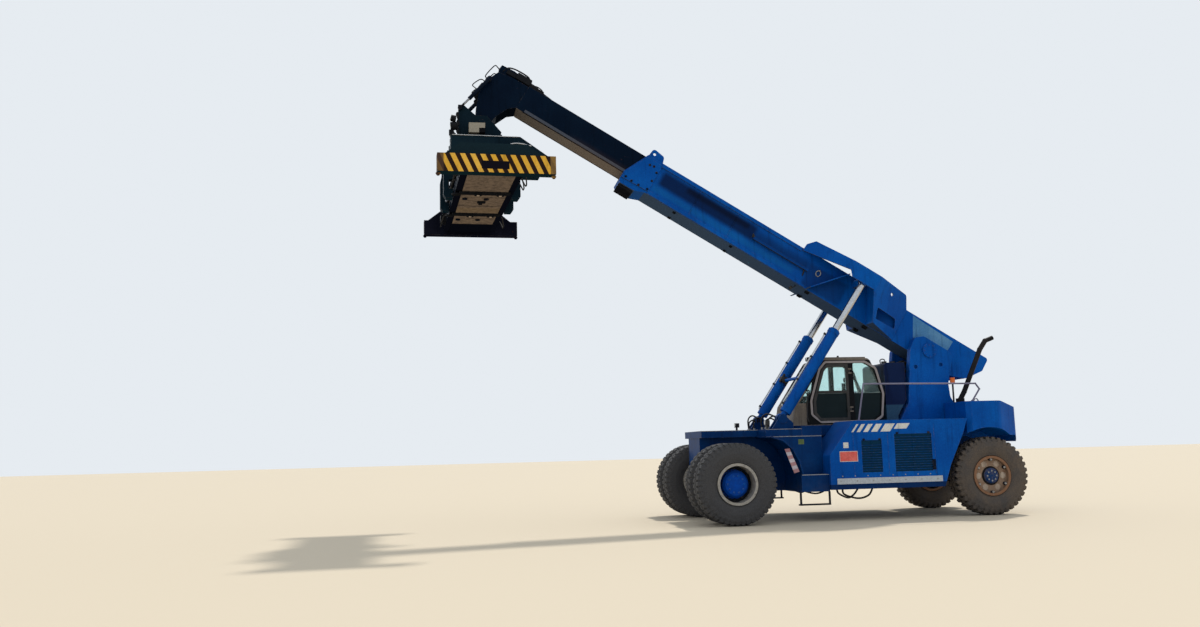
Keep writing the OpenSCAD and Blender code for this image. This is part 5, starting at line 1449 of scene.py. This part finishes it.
# small controls: a screen on its post, a console beside the wheel, levers on the arm rests, pedals
controls = {
    "screen": (-2.04, 0.34),
    "leverX": -2.71,
    "leverSides": (-0.279, 0.279),
    "pedalSides": (-0.07, 0.09),
}


def buildControls(v, floor):
    bm = bmesh.new()
    x, y = v["screen"]
    addBox(bm, (x - 0.02, 0.22, floor + 0.50), (x + 0.02, 0.46, floor + 0.68),
           tilted(-14, (x, 0.3, floor + 0.5)))
    addRod(bm, (x, y, floor + 0.35), (x, y, floor + 0.52), 0.018, 10)
    addBox(bm, (-2.20, 0.24, floor + 0.001), (-1.90, 0.44, floor + 0.36))
    x = v["leverX"]
    for y in v["leverSides"]:
        addRod(bm, (x, y, floor + 0.55), (x + 0.02, y, floor + 0.67), 0.014, 10)
        addRod(bm, (x + 0.02, y, floor + 0.67), (x + 0.022, y, floor + 0.70), 0.026, 12)
    for y in v["pedalSides"]:
        addBox(bm, (-1.80, y - 0.04, floor + 0.03), (-1.77, y + 0.04, floor + 0.19),
               tilted(30, (-1.785, y, floor + 0.03)))
    fromBmesh("smallControls", bm, blackPlastic, bevel=0.005)


# the rear: lamps, lifting eyes and bolts on the counterweight
rearTrim = {
    "x": -6.600,
    "lampZ": 2.02,
    "lampY": 0.62,
    "boltY": 0.30,
    "boltZ": (1.66, 1.88, 2.10),
    "eye": (-5.62, 1.15),
    "top": 2.45,
}


def buildRear(v):
    cases, reds, whites, steel = bmesh.new(), bmesh.new(), bmesh.new(), bmesh.new()
    turns = [math.pi * i / 10 for i in range(11)]
    back = v["x"]
    for _, sign in leftAndRight:
        y, z = v["lampY"] * sign, v["lampZ"]
        addBox(cases, (back - 0.030, y - 0.16, z - 0.06), (back + 0.01, y + 0.16, z + 0.06))
        for k, target in ((-1, reds), (0, reds), (1, whites)):
            spot = Vector((back - 0.030, y + 0.10 * k * sign, z))
            addRod(target, spot, spot - Vector((0.010, 0, 0)), 0.042, 18)
        spots = [(back + 0.001, v["boltY"] * sign, up) for up in v["boltZ"]]
        addBolts(steel, spots, (-1, 0, 0), 0.024, 0.020)
        x, y = v["eye"]
        z = v["top"] - 0.004
        eye = [Vector((x + 0.055 * math.cos(a), y * sign, z + 0.075 * math.sin(a))) for a in turns]
        addTube(steel, eye, 0.014)
    fromBmesh("tailCases", cases, blackPlastic, bevel=0.006)
    fromBmesh("tailRed", reds, redLens)
    fromBmesh("tailWhite", whites, lensGlass)
    fromBmesh("rearBolts", steel, wornSteel)


# the deck lamps' lenses, bolts round the boom's pivot, hoses and caps on the tank
tankTrim = {
    "lamp": (-0.739, 1.15, 2.090),
    "pivotBolts": 0.125,
    "pivotFace": 0.596,
    "caps": (-3.9, -4.1),
    "strap": [(-3.80, 3.385), (-3.79, 3.46), (-3.84, 3.49), (-3.90, 3.47), (-3.90, 3.39)],
}


def buildTank(v):
    lenses, bolts, hoses, caps = bmesh.new(), bmesh.new(), bmesh.new(), bmesh.new()
    x, y, z = v["lamp"]
    for _, sign in leftAndRight:
        addRod(lenses, (x, y * sign, z), (x + 0.006, y * sign, z), 0.042, 18)
        spots = circleSpots(boomFrame["pivot"], v["pivotBolts"], 8, v["pivotFace"] * sign)
        addBolts(bolts, spots, (0, sign, 0), 0.014, 0.012)
    fromBmesh("deckLenses", lenses, lensGlass)
    fromBmesh("pivotBolts", bolts, bluePaint, "boom")
    for k in range(5):
        hose = [(-4.24, 3.30), (-4.34, 3.40 + 0.01 * k), (-4.45, 3.42), (-4.56, 3.36), (-4.62, 3.20)]
        tubeAlong(hoses, [(x, -0.24 + 0.12 * k, z) for x, z in hose], 0.020)
    fromBmesh("tankHoses", hoses, blackRubber, smooth=True)
    for x in v["caps"]:
        addRod(caps, (x, 0.30, 3.388), (x, 0.30, 3.44), 0.06, 16)
    tubeAlong(caps, [(x, 0.34, z) for x, z in v["strap"]], 0.012)
    fromBmesh("tankCaps", caps, blackPlastic)


buildHead(headTrim)
buildLamps(headLamps)
buildTurntable(turntableTrim)
buildBelly(bellyTrim)
for sideName, sign in (("front", 1), ("rear", -1)):
    buildFrameSide(frameTrim, sideName, sign)
print("head and spreader dressed")
buildCab(cabTrim)
buildSeat(seatForm)
buildControls(controls, seatForm["floor"])
buildRear(rearTrim)
buildTank(tankTrim)
buildBoomTrim(boomTrim)
buildCylinderTrim(cylinderTrim)
buildHoses(footHoses, bellyHoses)
buildWheelTrim(wheelTrim)
print("trim built")

# warning stripes on the face of the end beam nearest the driver, with a black plate in the middle
hazard = {
    "pitch": 0.195,
    "lean": 0.47,
    "black": (0.020, 0.010, 0.008),
    "top": 7.342,               # the gusset above is plain
    "gusset": (0.006, 0.020, 0.030),
    "plate": (4.77, 5.31, 7.05, 7.21),
    "plateColor": (0.004, 0.003, 0.008),
    "ends": [                   # rusty ends: colour, from and to, softness, amount
        ((0.20, 0.12, 0.045), 3.0, 3.965, 0.01, 0.9),
        ((0.075, 0.042, 0.030), 6.035, 8.0, 0.02, 0.88),
    ],
}


def stripeBeam(material, v):
    tree, shader, painted = paintOn(material)
    coords = coordsOf(tree)
    leaning = times(tree, axisOf(tree, coords, 2), v["lean"])
    slanted = calc(tree, "SUBTRACT", axisOf(tree, coords, 0), leaning)
    turns = calc(tree, "DIVIDE", calc(tree, "ADD", slanted, 100.0), v["pitch"])    # never below zero
    turns = calc(tree, "FRACT", turns)
    band = times(tree, between(tree, turns, 0.49, 0.51), between(tree, turns, 1.0, 0.98))
    setSocket(tree, shader.inputs["Base Color"], blendColor(tree, band, painted, v["black"]))
    left, right, low, high = v["plate"]
    for color, back, front, soft, amount in v["ends"]:
        tint(material, color, [(acrossX, back, front)], soft=soft, amount=amount)
    tint(material, v["plateColor"], [(acrossX, left, right), (acrossZ, low, high)])
    tint(material, v["gusset"], [(acrossZ, v["top"], 9.0)])
    tint(material, v["gusset"], faces=[((0, 0, -1), 0.7)])


stripeBeam(yellowPaint, hazard)
